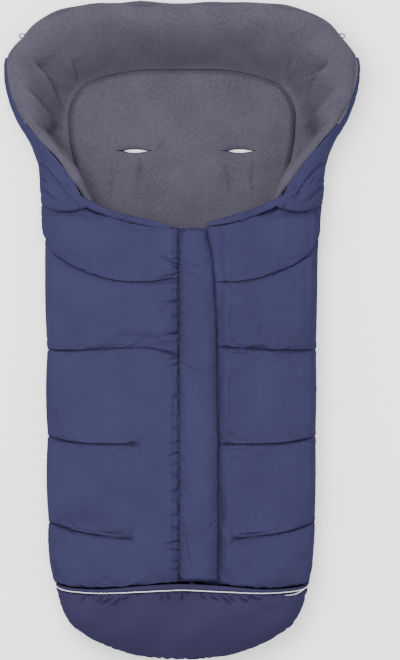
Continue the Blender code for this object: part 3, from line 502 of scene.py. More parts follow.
PAD_COLUMNS, PAD_ROWS = 130, 320
PAD_CROWN, PAD_CROWN_OVER = 0.0030, 0.05
PAD_EDGE, PAD_EDGE_DROP = 0.010, 0.0078
PAD_UNEVEN, PAD_UNEVEN_SIZE = 0.0006, 0.045
PAD_CREASE_WIDTH, PAD_CREASE_DEPTH, PAD_CREASE_RIDGE = 0.0021, 0.0036, 0.0009
LIP_DROP = 0.0030
PAD_CREASES = [
    ((109, 156), (111, 178), (108, 200)),
    ((140, 155), (139, 176), (134, 196)),
    ((225, 155), (228, 176), (232, 196)),
    ((254, 156), (252, 178), (255, 198)),
    ((156, 151), (161, 146), (166, 138)),
]
points, faces, seam, lips = floor_sheet(PAD_COLUMNS, PAD_ROWS, GAP)
outline = np.concatenate([seam, mirrored(seam[::-1])])[::6]
inside = distance_to(points, outline)[0]
z = BACK_THICKNESS + PAD_CROWN * ease(inside / PAD_CROWN_OVER)
z = z - PAD_EDGE_DROP * (1 - ease(inside / PAD_EDGE)) ** 2
z += PAD_UNEVEN * ripple(points[:, 0], points[:, 1], PAD_UNEVEN_SIZE, 11)
for path in PAD_CREASES:
    z += crease(points, spots(*path), PAD_CREASE_WIDTH, PAD_CREASE_DEPTH, PAD_CREASE_RIDGE)
z -= LIP_DROP * lips
back_pad = sewn("back_pad", stacked(points, z), stacked(points, SKIN + GAP), grey_fleece, faces)
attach(back_pad, "root")
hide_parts("back_lining", "back_wadding")

# Slit bindings
# A strip of the navy cloth folded over the slit's raw edge and sewn through all the layers, so
# that the harness webbing doesn't fray it. Only its inner edge shows.
BINDING_STEPS = 24
BINDING = 0.0007
BINDING_SUNK = 0.0035
BINDING_WELD = 0.00001
WEDGE_FROM, WEDGE_OVER = 0.016, 0.008


def lens_ring(sx, sy, shrink, wedge=0.0):
    """The slit's outline as a closed ring, drawn in by a little all round, and by more over the
    wedge where the folded cloth shows at its left end."""
    ring = []
    for k in range(2 * BINDING_STEPS):
        share = k / BINDING_STEPS
        side = 1.0 if share < 1 else -1.0
        share = share if share < 1 else 2.0 - share
        reach = SLIT_LENGTH / 2 - shrink
        x = -math.cos(math.pi * share) * reach
        half = float(slit_opening(x)[0]) - shrink
        half *= 1 - wedge * float(1 - ease((x + WEDGE_FROM) / WEDGE_OVER))
        half = max(half, 0.00002)
        ring.append((sx + x, sy + side * half))
    return np.array(ring)


for name, (sx, sy) in SLITS.items():
    top = BACK_THICKNESS - BINDING_SUNK
    rings = []
    for shrink, height, wedge in ((0.0002, 0.0, 0.0), (0.0002, top, 0.0), (0.0004, top + 0.0006, 0.0),
                                  (BINDING, top + 0.0003, 0.9), (BINDING + 0.0002, 0.0, 0.9)):
        rings.append(stacked(lens_ring(sx, sy, shrink, wedge), height))
    rings.append(rings[0])
    grid = np.array(rings)
    grid = np.concatenate([grid, grid[:, :1]], axis=1)
    faces = quads(numbered(grid)).tolist()
    binding = make_piece("slit_binding_" + name, grid, faces, shell_navy, BINDING_WELD, BINDING_WELD)
    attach(binding, "root")
    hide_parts("slot_facing_" + name)

# Side wall
# The quilted wall from one shoulder round the foot to the other: navy taffeta outside, hollow
# fibre between, fleece inside. The side seam's stitching draws it into small scallops.
def tucks(along, away, spacing, reach, width, seed, run):
    """How deep each point lies in the small tucks that a gathered seam throws."""
    rng = np.random.default_rng(seed)
    count = int(run / spacing)
    total = np.zeros(np.broadcast(along, away).shape)
    for k in range(count):
        shift, far, lean, deep, wide = rng.uniform(0.0, 1.0, 5)
        start = (k + 0.15 + 0.7 * shift) * spacing
        length = reach * (0.35 + 1.3 * far ** 2)
        off = (along - start - (lean - 0.5) * 0.7 * away) / (width * (0.7 + 0.6 * wide))
        total += (0.35 + 0.65 * deep) * np.exp(-off ** 2) * np.exp(-(away / length) ** 2)
    return total


SIDE_STEPS = 560
SIDE_PUFF, SIDE_TUCK = 0.0018, 0.0024
WALL_LAP = 0.003
# Tucks along a seam: how far apart they are, how far they reach from it, and how wide they are
SIDE_SEAM_TUCKS, FLOOR_SEAM_TUCKS = (0.013, 0.024, 0.0026), (0.016, 0.012, 0.0030)
side_table = np.concatenate([mirrored(PLAN[1:SIDE_ROWS + 1][::-1]), PLAN[:SIDE_ROWS + 1]])
side_plan = follow(side_table, SIDE_STEPS)
side_plan[0, 1] = side_plan[-1, 1] = side_plan[0, 1] - GAP
run_along = lengths_along(side_plan[:, :2])


def wall_section(rows, angles, near, bottom):
    """The quarter round of the wall, from the floor seam out and up to the side seam."""
    inset = near + (rows[:, 3:4] - near) * (1 - np.cos(angles))[None, :]
    z = SEAM_HEIGHT - (SEAM_HEIGHT - bottom) * np.sin(angles)[None, :]
    return inset, np.broadcast_to(z, inset.shape)


def outwards(rows):
    """The direction away from the bag's middle at each row of the outline."""
    out = np.column_stack([rows[:, 0], rows[:, 1] - rows[:, 2], np.zeros(len(rows))])
    return (out / np.linalg.norm(out, axis=1)[:, None])[:, None, :]


angles = np.radians(np.linspace(90, 0, 26))
outer = place(side_plan, *wall_section(side_plan, angles, 0.0, SKIN))
towards = outwards(side_plan) + np.array([0.0, 0.0, -0.4])
n = normals(outer, towards)
up = SEAM_HEIGHT - outer[..., 2]
puff = SIDE_PUFF * np.sin(math.pi * np.clip(up / SEAM_HEIGHT, 0, 1)) ** 0.7
tuck = tucks(run_along[:, None], up, *SIDE_SEAM_TUCKS, 21, run_along[-1])
tuck += 0.6 * tucks(run_along[:, None], SEAM_HEIGHT - up, *FLOOR_SEAM_TUCKS, 22, run_along[-1])
outer += n * (puff - SIDE_TUCK * tuck)[..., None]
outer[..., 2] = np.maximum(outer[..., 2], 0.0)
lapped = BACK_THICKNESS - WALL_LAP
inner = place(side_plan, *wall_section(side_plan, angles, WALL - FLEECE - GAP, lapped))
side_wall = sewn("side_wall", outer, inner, shell_navy)
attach(side_wall, "root")
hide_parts("side_outer", "side_wadding")

angles = np.radians(np.linspace(90, 0, 14))
rows = side_plan[::4]
outer = place(rows, *wall_section(rows, angles, WALL, BACK_THICKNESS))
inner = place(rows, *wall_section(rows, angles, WALL - FLEECE, BACK_THICKNESS - FLEECE))
side_fleece = sewn("side_fleece", outer, inner, grey_fleece)
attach(side_fleece, "root")
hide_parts("side_lining")
size, area = cut_size(outer)

# Hood shell
# The navy wall round the head, a soft roll that stands up from the floor seam. Round the head
# the fleece rolls right over it; at the shoulders it folds in over the front and creases.
RIM_ROLL_HEAD, RIM_ROLL_SHOULDER = 0.0135, 0.010
RIM_DIP = 0.003
COVER_FROM, COVER_OVER, COVER_DEPTH = 0.872, 0.008, 0.0058
SHOULDER_BULGE, BULGE_SPAN, BULGE_OVER = 0.0085, 0.072, 0.030
SHOULDER_ROLL, SHOULDER_DROP = 0.0055, 0.0125
END_ROLL, END_ROLL_AT, END_ROLL_OVER = 0.0028, 0.007, 0.006
HOOD_STEPS = 800
RIM_WAVE, RIM_WAVE_SIZE = 0.0014, 0.11
HOOD_PUFF, RIM_TUCK, SEAM_TUCK = 0.0020, 0.0003, 0.0006
RIM_TUCKS, HOOD_SEAM_TUCKS = (0.011, 0.014, 0.0024), (0.016, 0.014, 0.0032)
TURN_STEPS = 7
SHOULDER_HANG_FROM = 0.020
hood_table = np.concatenate([PLAN[SIDE_ROWS:], mirrored(PLAN[SIDE_ROWS:-1][::-1])])
hood_plan = follow(hood_table, HOOD_STEPS)
hood_run = lengths_along(hood_plan[:, :2])
hood_from_end = np.minimum(hood_run, hood_run[-1] - hood_run)[:, None]
covered = ease((hood_plan[:, 1:2] + LENGTH / 2 - COVER_FROM) / COVER_OVER)
rise = np.clip(hood_plan[:, 5:6], 0.0, 1.0)
rim_inset = np.maximum(hood_plan[:, 4:5], 0.0) * (1 - covered)
rim_z = RIM_HEIGHT_HEAD + (RIM_HEIGHT_SHOULDER - RIM_HEIGHT_HEAD) * rise - RIM_DIP * covered
rim_z = rim_z + RIM_WAVE * ripple(hood_run[:, None], 0.0, RIM_WAVE_SIZE, 30) * (1 - rise)

lower = np.radians(np.linspace(90, 0, 18))
upper = np.radians(np.linspace(0, 90, 30))[1:]
hidden = COVER_DEPTH * covered
inset, z = wall_section(hood_plan, lower, hidden, SKIN)
over = np.maximum(rim_inset, hidden)
inset = np.concatenate([inset, hidden + (over - hidden) * (1 - np.cos(upper))[None, :]], axis=1)
z = np.concatenate([z, SEAM_HEIGHT + (rim_z - SEAM_HEIGHT) * np.sin(upper)[None, :]], axis=1)
outer = place(hood_plan, inset, z)
n = normals(outer, outwards(hood_plan) + np.array([0.0, 0.0, 0.6]) * rise[..., None])
from_rim = np.maximum(rim_z - outer[..., 2], 0.0) + 0.6 * np.maximum(rim_inset - inset, 0.0)
tuck = tucks(hood_run[:, None], from_rim, *RIM_TUCKS, 31, hood_run[-1])
seam_off = np.abs(outer[..., 2] - SEAM_HEIGHT)
tuck_low = tucks(hood_run[:, None], seam_off, *HOOD_SEAM_TUCKS, 32, hood_run[-1])
near_end = 1 - ease(hood_from_end / 0.10)
puff = HOOD_PUFF * np.sin(math.pi * np.clip(outer[..., 2] / rim_z, 0, 1)) * (1 - covered)
puff = puff - (RIM_TUCK + RIM_TUCK * near_end) * tuck
puff = puff - (SEAM_TUCK + SEAM_TUCK * near_end) * tuck_low
outer += n * puff[..., None]
SHOULDER_CREASES = [
    (((36, 162), (44, 167), (50, 173), (57, 181), (67, 193), (79, 203)), 0.0017, 0.0060, 0.0020),
    (((38, 184), (43, 189), (51, 195), (60, 199)), 0.0018, 0.0044, 0.0018),
    (((74, 195), (78, 201), (83, 209)), 0.0017, 0.0034, 0.0010),
    (((46, 172), (51, 181), (60, 190)), 0.0022, 0.0026, 0.0014),
    (((39, 176), (42, 180), (48, 184)), 0.0018, 0.0030, 0.0012),
    (((58, 186), (66, 197), (73, 204)), 0.0018, 0.0028, 0.0012),
    (((62, 181), (69, 189), (76, 196)), 0.0018, 0.0024, 0.0010),
]
flat = outer.reshape(-1, 3)
high = ease((flat[:, 2] - SEAM_HEIGHT) / 0.02)
shift = np.zeros(len(flat))
for path, width, depth, ridge in SHOULDER_CREASES:
    for line in (spots(*path), mirrored(spots(*path))):
        shift += crease(flat, line, width, depth, ridge)
outer += n * (high * shift).reshape(n.shape[:2])[..., None]
high = ease((outer[..., 2] - SEAM_HEIGHT) / 0.02)
swag = SHOULDER_BULGE * np.sin(math.pi * np.clip(inset / BULGE_SPAN, 0, 1)) ** 0.8
outer[..., 1] -= swag * high * (1 - ease(hood_from_end / BULGE_OVER))
end_roll = np.exp(-((hood_from_end - END_ROLL_AT) / END_ROLL_OVER) ** 2)
outer[..., 2] += END_ROLL * end_roll * high * np.clip(inset / 0.02, 0, 1)
outer[..., 2] = np.maximum(outer[..., 2], 0.0)


def turned_under(grid, end):
    """Rows that carry the shoulder's edge on, down and under, where it laps the front."""
    more = []
    hang = SHOULDER_ROLL * ease(inset[end] / SHOULDER_HANG_FROM)
    for turn in np.radians(np.linspace(0, 90, TURN_STEPS + 1))[1:]:
        row = grid[end].copy()
        row[:, 1] -= hang * math.sin(turn) * high[end]
        row[:, 2] -= SHOULDER_DROP * (1 - math.cos(turn)) * high[end]
        more.append(row)
    return np.array(more)


outer = np.concatenate([turned_under(outer, 0)[::-1], outer, turned_under(outer, -1)])
n = normals(outer, np.concatenate([n[:1]] * TURN_STEPS + [n] + [n[-1:]] * TURN_STEPS))
inner = outer - n * (SKIN + 0.0004)
inner[..., 2] = np.maximum(inner[..., 2], 0.0004)
hood_shell = sewn("hood_shell", outer, inner, shell_navy, angle=70)
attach(hood_shell, "root")
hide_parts("hood_outer")
size, area = cut_size(outer)

# Hood fleece
# The lining of the wall, which rolls over the rim. It is wadded behind, so it stands full, and
# it laps in long folds where the wall turns the corners down to the shoulders.
FLEECE_FOOT_PULL = np.array([(-0.022, 0.014), (-0.040, 0.012)])
FLEECE_RIM_PULL = 0.035
BAND_DROP, BAND_DROP_OVER = 0.012, 0.034
BAND_NARROWS = 0.42
HEAD_DRAWN_IN = 0.0032
WALL_STATIONS, ROLL_STATIONS = 46, 24
# The lining is numbered 0 to 1 up the wall, and on to this at the end of the roll
ROLL_END = 1.5
FLEECE_SWELL, FLEECE_UNEVEN, FLEECE_UNEVEN_SIZE = 0.0024, 0.0012, 0.070
FLEECE_TUCK, LIP_TUCKS = 0.0004, (0.021, 0.008, 0.0035)
lip = RIM_ROLL_HEAD + (RIM_ROLL_SHOULDER - RIM_ROLL_HEAD) * ease(rise / 0.5)
lip = lip * (1 - BAND_NARROWS * (1 - ease(hood_from_end / 0.055)))
meet = np.radians(180 - 40 * rise)
lip_x = rim_inset + HEAD_DRAWN_IN * covered - lip * np.cos(meet)
lip_z = rim_z - lip * np.sin(meet)
lip_start = np.radians(90 - 135 * ease((rise - 0.20) / 0.50))
lip_end = meet + np.radians(20) * covered - np.radians(6) * (1 - covered)
t = np.linspace(0.0, 1.0, WALL_STATIONS)[None, :, None]
foot_of_wall = np.stack([hood_plan[:, 3:4], np.full_like(rise, BACK_THICKNESS - 0.005)], -1)
top_of_wall = np.stack([lip_x + lip * np.cos(lip_start), lip_z + lip * np.sin(lip_start)], -1)
foot_pull = FLEECE_FOOT_PULL[0] + (FLEECE_FOOT_PULL[1] - FLEECE_FOOT_PULL[0]) * rise[..., None]
rim_pull = FLEECE_RIM_PULL * np.stack([np.sin(lip_start), -np.cos(lip_start)], -1)
wall = (
    foot_of_wall * (1 - t) ** 3 + (foot_of_wall + foot_pull) * 3 * t * (1 - t) ** 2
    + (top_of_wall + rim_pull) * 3 * t * t * (1 - t) + top_of_wall * t ** 3
)
roll = lip_start + (lip_end - lip_start) * np.linspace(0, 1, ROLL_STATIONS)[None, 1:]
rolled = np.stack([lip_x + lip * np.cos(roll), lip_z + lip * np.sin(roll)], -1)
section = np.concatenate([wall, rolled], axis=1)
outer = place(hood_plan, section[..., 0], section[..., 1])
n = normals(outer, np.array([0.0, 0.0, 1.0]) - 0.5 * outwards(hood_plan))
lie = np.concatenate([t[0, :, 0], np.linspace(1.0, ROLL_END, ROLL_STATIONS)[1:]])[None, :]
swell = FLEECE_SWELL * np.sin(math.pi * np.clip(lie, 0, 1))
uneven = ripple(outer[..., 0], outer[..., 1], FLEECE_UNEVEN_SIZE, 41)
swell = swell + FLEECE_UNEVEN * uneven * ease(lie / 0.3)
from_lip = np.abs(lie - ROLL_END) * 0.05
tuck = tucks(hood_run[:, None], from_lip, *LIP_TUCKS, 42, hood_run[-1])
flat = (outer + n * (swell - FLEECE_TUCK * tuck)[..., None]).reshape(-1, 3)
FLEECE_FOLDS = [
    (((34, 58), (38, 65.5), (46.4, 74.6), (51.4, 83), (58, 97.8), (66, 111)), 0.0105, 0.018),
    (((27, 86), (32, 92), (39.8, 102), (46.4, 110.8), (56, 120), (66, 131)), 0.0092, 0.014),
    (((44, 117), (50, 123), (55, 132), (62, 145), (69, 158)), 0.0050, 0.008),
    (((71, 58), (73.5, 65), (76, 73), (79, 83)), 0.0048, 0.008),
]
RIM_DENTS = [
    (((112, 4), (117, 16), (128, 27)), 0.0070, 0.0016),
    (((252, 4), (246, 15), (238, 26)), 0.0070, 0.0018),
    (((175, 8), (180, 22), (178, 40)), 0.0090, 0.0010),
]
shift = np.zeros(len(flat))
for path, drop, reach in FLEECE_FOLDS:
    shift += fold(flat, spots(*path), drop, reach)
    shift += fold(flat, mirrored(spots(*path)), drop, reach, low_left=False)
for path, width, depth in RIM_DENTS:
    shift += crease(flat, spots(*path), width, depth, 0.4 * depth)
on_wall = ease(lie / 0.10) * (1 - ease((lie - 1.0) / 0.3))
shift *= np.broadcast_to(on_wall, outer.shape[:2]).reshape(-1)
flat = flat + n.reshape(-1, 3) * shift[:, None]
outer = flat.reshape(outer.shape)
outer[..., 2] -= BAND_DROP * (1 - ease(hood_from_end / BAND_DROP_OVER)) * ease((lie - 0.4) / 0.4)
inner = outer - n * FLEECE
hood_fleece = sewn("hood_fleece", outer, inner, grey_fleece, angle=80)
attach(hood_fleece, "root")
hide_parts("hood_lining", "hood_wadding", "rim_wadding")

# Rim elastic and loops
# A round braided elastic runs in the rolled rim and draws the hood in. On either side a short
# loop of the same cord is caught in the rim's seam, to button the hood back.
def braid(name, light, dark):
    """Braided polyester cord: matt, with slanting strands 1.2 mm apart that shade each other."""
    material, tree, shader, spot = cloth(name, 0.7)
    strands = node(tree, "ShaderNodeTexWave", {"bands_direction": "DIAGONAL", "Scale": 1 / 0.0075,
                   "Distortion": 1.5, "Detail": 1.0}, {"Vector": spot})
    mix = node(tree, "ShaderNodeMix", {"data_type": "RGBA", 6: dye(dark), 7: dye(light)},
               {0: strands.outputs["Fac"]})
    tree.links.new(mix.outputs[2], shader.inputs["Base Color"])
    bump = node(tree, "ShaderNodeBump", {"Strength": 0.5, "Distance": 0.0003},
                {"Height": strands.outputs["Fac"]})
    tree.links.new(bump.outputs["Normal"], shader.inputs["Normal"])
    return material


def cord_mesh(name, path, radius, material, sides=12):
    """A round cord along a path, its radius one number or one for each point."""
    path = np.asarray(path, float)
    radius = np.broadcast_to(radius, len(path))
    along = np.gradient(path, axis=0)
    along /= np.linalg.norm(along, axis=1)[:, None]
    up = np.array([0.0, 0.0, 1.0])
    right = np.cross(along, up)
    short = np.linalg.norm(right, axis=1) < 0.05
    right[short] = np.array([1.0, 0.0, 0.0])
    right /= np.linalg.norm(right, axis=1)[:, None]
    lift = np.cross(right, along)
    turn = np.linspace(0, 2 * math.pi, sides, endpoint=False)
    grid = (
        path[:, None] + radius[:, None, None] * (
            right[:, None] * np.cos(turn)[None, :, None] + lift[:, None] * np.sin(turn)[None, :, None])
    )
    index = numbered(grid)
    faces = quads(np.concatenate([index, index[:, :1]], axis=1)).tolist()
    faces += [index[0].tolist(), index[-1][::-1].tolist()]
    return make_piece(name, grid, faces, material)


RIM_CORD = 0.0015
# The elastic's ends are sewn in short of the hood's own, by this many of its rows
ELASTIC_SHORT, ELASTIC_EVERY = 17, 6
white_cord = braid("white_braided_elastic", "#e9e9ef", "#b9bac6")
path = place(hood_plan, lip_x, lip_z)[:, 0]
path[:, 2] -= BAND_DROP * (1 - ease(hood_from_end[:, 0] / BAND_DROP_OVER))
path = path[ELASTIC_SHORT:-ELASTIC_SHORT:ELASTIC_EVERY]
rim_elastic = cord_mesh("rim_elastic", path, RIM_CORD, white_cord, 8)
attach(rim_elastic, "root")
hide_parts("hood_elastic")
LOOP_CORD = 0.0011
LOOP_SEWN_IN = 0.008
LOOP_STEPS = 24
grey_cord = braid("grey_braided_elastic", "#8a8a97", "#62626e")
for side, sign in (("left", -1.0), ("right", 1.0)):
    low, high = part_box("rim_loop_" + side)
    middle = (np.array(low) + np.array(high)) / 2
    reach = (high.x - low.x) / 2 - LOOP_CORD
    wide = (high.y - low.y) / 2 - LOOP_CORD
    bend = np.radians(np.linspace(-90, 90, LOOP_STEPS))
    sewn_in = LOOP_SEWN_IN * (np.cos(bend) < 0.01)
    path = np.column_stack([
        middle[0] + sign * (reach * (2 * np.cos(bend) - 1) - sewn_in),
        middle[1] + wide * np.sin(bend), np.full(LOOP_STEPS, middle[2]),
    ])
    loop = cord_mesh("loop_" + side, path, LOOP_CORD, grey_cord, 10)
    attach(loop, "root")
    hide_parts("rim_loop_" + side)

# Foot pocket
# The cap over the toes: navy taffeta over hollow fibre over fleece, sewn to the side wall round
# the foot. Its hem is drawn up a little, which throws short tucks under the piping.
BODY_HEIGHT = 0.100
ARCH_POWER = 2.6
# From a side to the middle: how high the piping's seam is, and how wide the hem above it
HEM_ACROSS = (0.0, 0.04, 0.12, 0.35, 0.72, 1.0)
HEM_SEAM = (0.1066, 0.1031, 0.1002, 0.0979, 0.1005, 0.1026)
HEM_WIDTHS = (0.0040, 0.0045, 0.0048, 0.0054, 0.0083, 0.0086)
PIPING_RADIUS = 0.0009
POCKET_TUCK, POCKET_TUCKS = 0.0036, (0.0088, 0.010, 0.0019)
POCKET_TUCKS_TO, POCKET_TUCKS_FADE = 0.178, 0.03
POCKET_SIDE_TUCK, POCKET_SIDE_TUCKS = 0.0016, (0.015, 0.014, 0.0034)
POCKET_SWELL, POCKET_UNEVEN, POCKET_UNEVEN_SIZE = 0.0022, 0.0012, 0.075
UNDER_PIPING, UNDER_PIPING_OVER = 0.0024, 0.0035
POCKET_DRAWN_UP = 0.012
FOOT_STEPS, CAP_STEPS, CAP_FLEECE_STEPS = 300, 170, 24
# The longer tucks under the piping, as the photograph shows them
POCKET_CREASES = [
    ((84.6, 594.6), (83.2, 598), (81.0, 602.5)), ((104, 595), (101, 598.5), (96.5, 602)),
    ((116, 595), (109, 599), (101, 604)), ((122, 595.5), (118, 600.5), (112, 605.5)),
    ((130, 595), (126, 597.5), (120, 599.5)), ((162.3, 592.5), (162, 596), (161, 600)),
    ((167, 591.5), (168.4, 594.5), (170, 598.5)), ((182.6, 591.5), (182.4, 595.5), (181.4, 600)),
    ((200, 592.5), (202.6, 595.5), (206, 599)), ((210, 592.5), (213.6, 596.5), (218, 600.5)),
    ((220, 593), (225, 598), (231, 604)), ((228, 593.5), (231, 597.5), (234, 601)),
    ((238, 594), (243, 598.5), (249, 602)), ((246, 594), (254, 597), (263, 599)),
]
POCKET_CREASE_WIDTH, POCKET_CREASE_DEPTH, POCKET_CREASE_RIDGE = 0.0017, 0.0042, 0.0012
POCKET_DENTS = [((273, 611), 0.018, 0.0065), ((196, 651), 0.022, 0.0045), ((256, 622), 0.020, 0.0025)]
# The foot pocket and its hem take a copy of the shell's navy taffeta painted a little darker and less
# blue: painted shade.
foot_navy_painted_shade = taffeta("navy_taffeta_foot_painted_shade", "#35324d", "#2e2b44")


def arch(ratio):
    """How high the front stands at a share of its half width, as a share of its height."""
    return np.clip(1.0 - np.clip(np.abs(ratio), 0, 1) ** ARCH_POWER, 0, 1) ** (1 / ARCH_POWER)


def smooth_read(xs, ys, at, steep_start=0.0):
    """A smooth curve through a short table, flat at its end and, unless it is told otherwise,
    at its start."""
    xs, ys, at = np.array(xs), np.array(ys), np.asarray(at, float)
    slopes = np.zeros(len(xs))
    slopes[1:-1] = (ys[2:] - ys[:-2]) / (xs[2:] - xs[:-2])
    slopes[0] = steep_start * (ys[1] - ys[0]) / (xs[1] - xs[0])
    k = np.clip(np.searchsorted(xs, at, side="left") - 1, 0, len(xs) - 2)
    span = xs[k + 1] - xs[k]
    s = np.clip((at - xs[k]) / span, 0, 1)
    return (
        ys[k] * (2 * s ** 3 - 3 * s ** 2 + 1) + ys[k + 1] * (3 * s ** 2 - 2 * s ** 3)
        + slopes[k] * span * (s ** 3 - 2 * s ** 2 + s) + slopes[k + 1] * span * (s ** 3 - s ** 2)
    )


SIDE_LINE = PLAN[FOOT_ROWS - 1:SIDE_ROWS + 3]


def half_width(y):
    """The outline's half width at a height from the foot end."""
    return np.interp(y, SIDE_LINE[:, 1] + LENGTH / 2, SIDE_LINE[:, 0])


HEM_HALF = float(half_width(FOOT_LENGTH))


def hem_seam(x):
    """The height of the piping's seam from the foot end, which waves across the front."""
    return smooth_read(HEM_ACROSS, HEM_SEAM, 1 - np.abs(x) / HEM_HALF, 1.0)


foot_table = np.concatenate([mirrored(PLAN[1:FOOT_ROWS][::-1]), PLAN[:FOOT_ROWS]])
foot_plan = follow(foot_table, FOOT_STEPS)
reach = np.hypot(foot_plan[:, 0], foot_plan[:, 1] - foot_plan[:, 2])[:, None]
foot_run = lengths_along(foot_plan[:, :2])


def foot_cap(depth, steps):
    """The cap's surface at a depth below its skin, from the side seam in to the hem's middle."""
    turn = np.linspace(0.0, 1.0, steps)[None, :] * math.pi / 2
    ratio = np.cos(turn) ** (2 / ARCH_POWER)
    inset = depth + (1 - ratio) * (reach - depth)
    height = BODY_HEIGHT - SEAM_HEIGHT - depth
    z = SEAM_HEIGHT + GAP + height * np.sin(turn) ** (2 / ARCH_POWER)
    cap = place(foot_plan, inset, np.broadcast_to(z, inset.shape))
    short = np.maximum(hem_seam(cap[..., 0]) + 2 * PIPING_RADIUS - FOOT_LENGTH, 0.0)
    cap[..., 1] += short * np.exp((cap[..., 1] + LENGTH / 2 - FOOT_LENGTH) / POCKET_DRAWN_UP)
    return cap, ratio


outer, ratio = foot_cap(0.0, CAP_STEPS)
n = normals(outer, outwards(foot_plan) * 0.5 + np.array([0.0, 0.0, 1.0]))
x, y = outer[..., 0], outer[..., 1]
below_hem = hem_seam(x) - PIPING_RADIUS - LENGTH / 2 - y
lean = x + HALF_BODY + 0.45 * below_hem * np.sign(x)
below_hem = np.maximum(below_hem, 0)
tuck = tucks(lean, below_hem, *POCKET_TUCKS, 51, BODY_WIDTH)
tuck *= ease((POCKET_TUCKS_TO - np.abs(x)) / POCKET_TUCKS_FADE)
dent = UNDER_PIPING * np.exp(-(below_hem / UNDER_PIPING_OVER) ** 2)
for pixel, wide, deep in POCKET_DENTS:
    middle = spots(pixel)[0]
    dent += deep * np.exp(-((x - middle[0]) ** 2 + 1.5 * (y - middle[1]) ** 2) / wide ** 2)
edge_off = np.maximum(outer[..., 2] - SEAM_HEIGHT, 0.0)
edge_tuck = tucks(foot_run[:, None], edge_off, *POCKET_SIDE_TUCKS, 52, foot_run[-1])
swell = POCKET_SWELL * np.sin(math.pi * np.clip(ratio, 0, 1))
swell = swell + POCKET_UNEVEN * ripple(x, y, POCKET_UNEVEN_SIZE, 53)
for path in POCKET_CREASES:
    line = crease(outer.reshape(-1, 3), spots(*path), POCKET_CREASE_WIDTH, POCKET_CREASE_DEPTH,
                  POCKET_CREASE_RIDGE)
    dent -= line.reshape(dent.shape)
swell = swell - POCKET_TUCK * tuck - dent - POCKET_SIDE_TUCK * edge_tuck
outer = outer + n * swell[..., None]
inner = foot_cap(WALL - FLEECE - GAP, CAP_STEPS)[0]
# The pocket's cover takes the taffeta copy painted darker, as painted shade.
foot_pocket = sewn("foot_pocket_quilt", outer, inner, foot_navy_painted_shade)
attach(foot_pocket, "root")
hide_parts("foot_pocket", "foot_wadding")
outer, inner = (foot_cap(depth, CAP_FLEECE_STEPS)[0] for depth in (WALL - FLEECE, WALL))
foot_fleece = sewn("foot_fleece", outer, inner, grey_fleece)
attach(foot_fleece, "root")
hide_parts("foot_lining")
size, area = cut_size(outer)

# Pocket hem and piping
# The pocket's edge is turned over into a soft band, and a cord covered in silver-white
# reflective tape is sewn in along its lower seam.
HEM_THICKNESS, HEM_SWELL, HEM_LIFT = 0.0026, 0.0016, 0.0020
HEM_TUCK, HEM_TUCKS = 0.0009, (0.012, 0.006, 0.002)
HEM_STATIONS, PIPING_STATIONS, TAIL_STATIONS = 260, 240, 40


def over_hem(x, lift, along):
    """Points over the hem, at a distance up from the piping's seam."""
    y = hem_seam(x) + along
    z = SEAM_HEIGHT + GAP + (BODY_HEIGHT - SEAM_HEIGHT) * arch(x / HEM_HALF) + lift
    return np.stack(np.broadcast_arrays(x, y - LENGTH / 2, z), -1)


def hem_stations(count):
    """Stations across the hem, closer together where it bends down at the sides."""
    turn = np.linspace(-math.pi / 2, math.pi / 2, count)
    return HEM_HALF * 0.998 * np.sign(turn) * np.abs(np.sin(turn)) ** (2 / ARCH_POWER)


x = hem_stations(HEM_STATIONS)[:, None]
roll = np.linspace(0, math.pi, 14)[None, :]
hem_width = smooth_read(HEM_ACROSS, HEM_WIDTHS, 1 - np.abs(x) / HEM_HALF)
along = PIPING_RADIUS / 2 + hem_width * (1 + np.cos(roll)) / 2
lift = HEM_LIFT + (HEM_THICKNESS + HEM_SWELL) * np.sin(roll) ** 0.7
lift = lift - HEM_TUCK * tucks(x + HALF_BODY, along, *HEM_TUCKS, 55, BODY_WIDTH)
outer = over_hem(x, lift, along)
inner = over_hem(x, np.full_like(roll, HEM_LIFT - GAP), along)
# The hem takes the same taffeta copy painted darker, as painted shade.
hem = sewn("pocket_hem", outer, inner, foot_navy_painted_shade)
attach(hem, "root")
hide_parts("foot_pocket_hem")


def reflective(name, tone, line):
    """Glass-bead reflective tape round a cord: pale silver white, smooth, faintly glossy, with
    the tape's edge stitching as small darker dashes."""
    material, tree, shader, spot = cloth(name, 0.38)
    dash = node(tree, "ShaderNodeTexNoise", {"Scale": 1 / 0.0030, "Detail": 2.0}, {"Vector": spot})
    mix = node(tree, "ShaderNodeMix", {"data_type": "RGBA", 6: dye(line), 7: dye(tone)},
               {0: dash.outputs["Fac"]})
    tree.links.new(mix.outputs[2], shader.inputs["Base Color"])
    bump = node(tree, "ShaderNodeBump", {"Strength": 0.3, "Distance": 0.0003},
                {"Height": dash.outputs["Fac"]})
    tree.links.new(bump.outputs["Normal"], shader.inputs["Normal"])
    return material


silver = reflective("reflective_tape", "#ffffff", "#dfe1f2")
PIPING_LIFT = HEM_LIFT + PIPING_RADIUS - 0.0002
path = over_hem(hem_stations(PIPING_STATIONS), PIPING_LIFT, 0.0)
piping = cord_mesh("piping", path, PIPING_RADIUS, silver, 12)
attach(piping, "root")
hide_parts("reflective_piping")
# Its end is turned back along the hem on the right and shows as a second strand
tail = spots((284, 594.2), (291, 593.9), (297, 592.4), (302, 589.6), (305.4, 586.6))
tail = follow(tail, TAIL_STATIONS)
tail_z = over_hem(tail[:, 0], PIPING_LIFT, 0.0)[:, 2]
tail_radius = PIPING_RADIUS * 0.8 * np.sqrt(np.clip(np.linspace(0.02, 1.4, TAIL_STATIONS), 0, 1))
piping_tail = cord_mesh("piping_tail", np.column_stack([tail, tail_z]), tail_radius, silver, 10)
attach(piping_tail, "root")

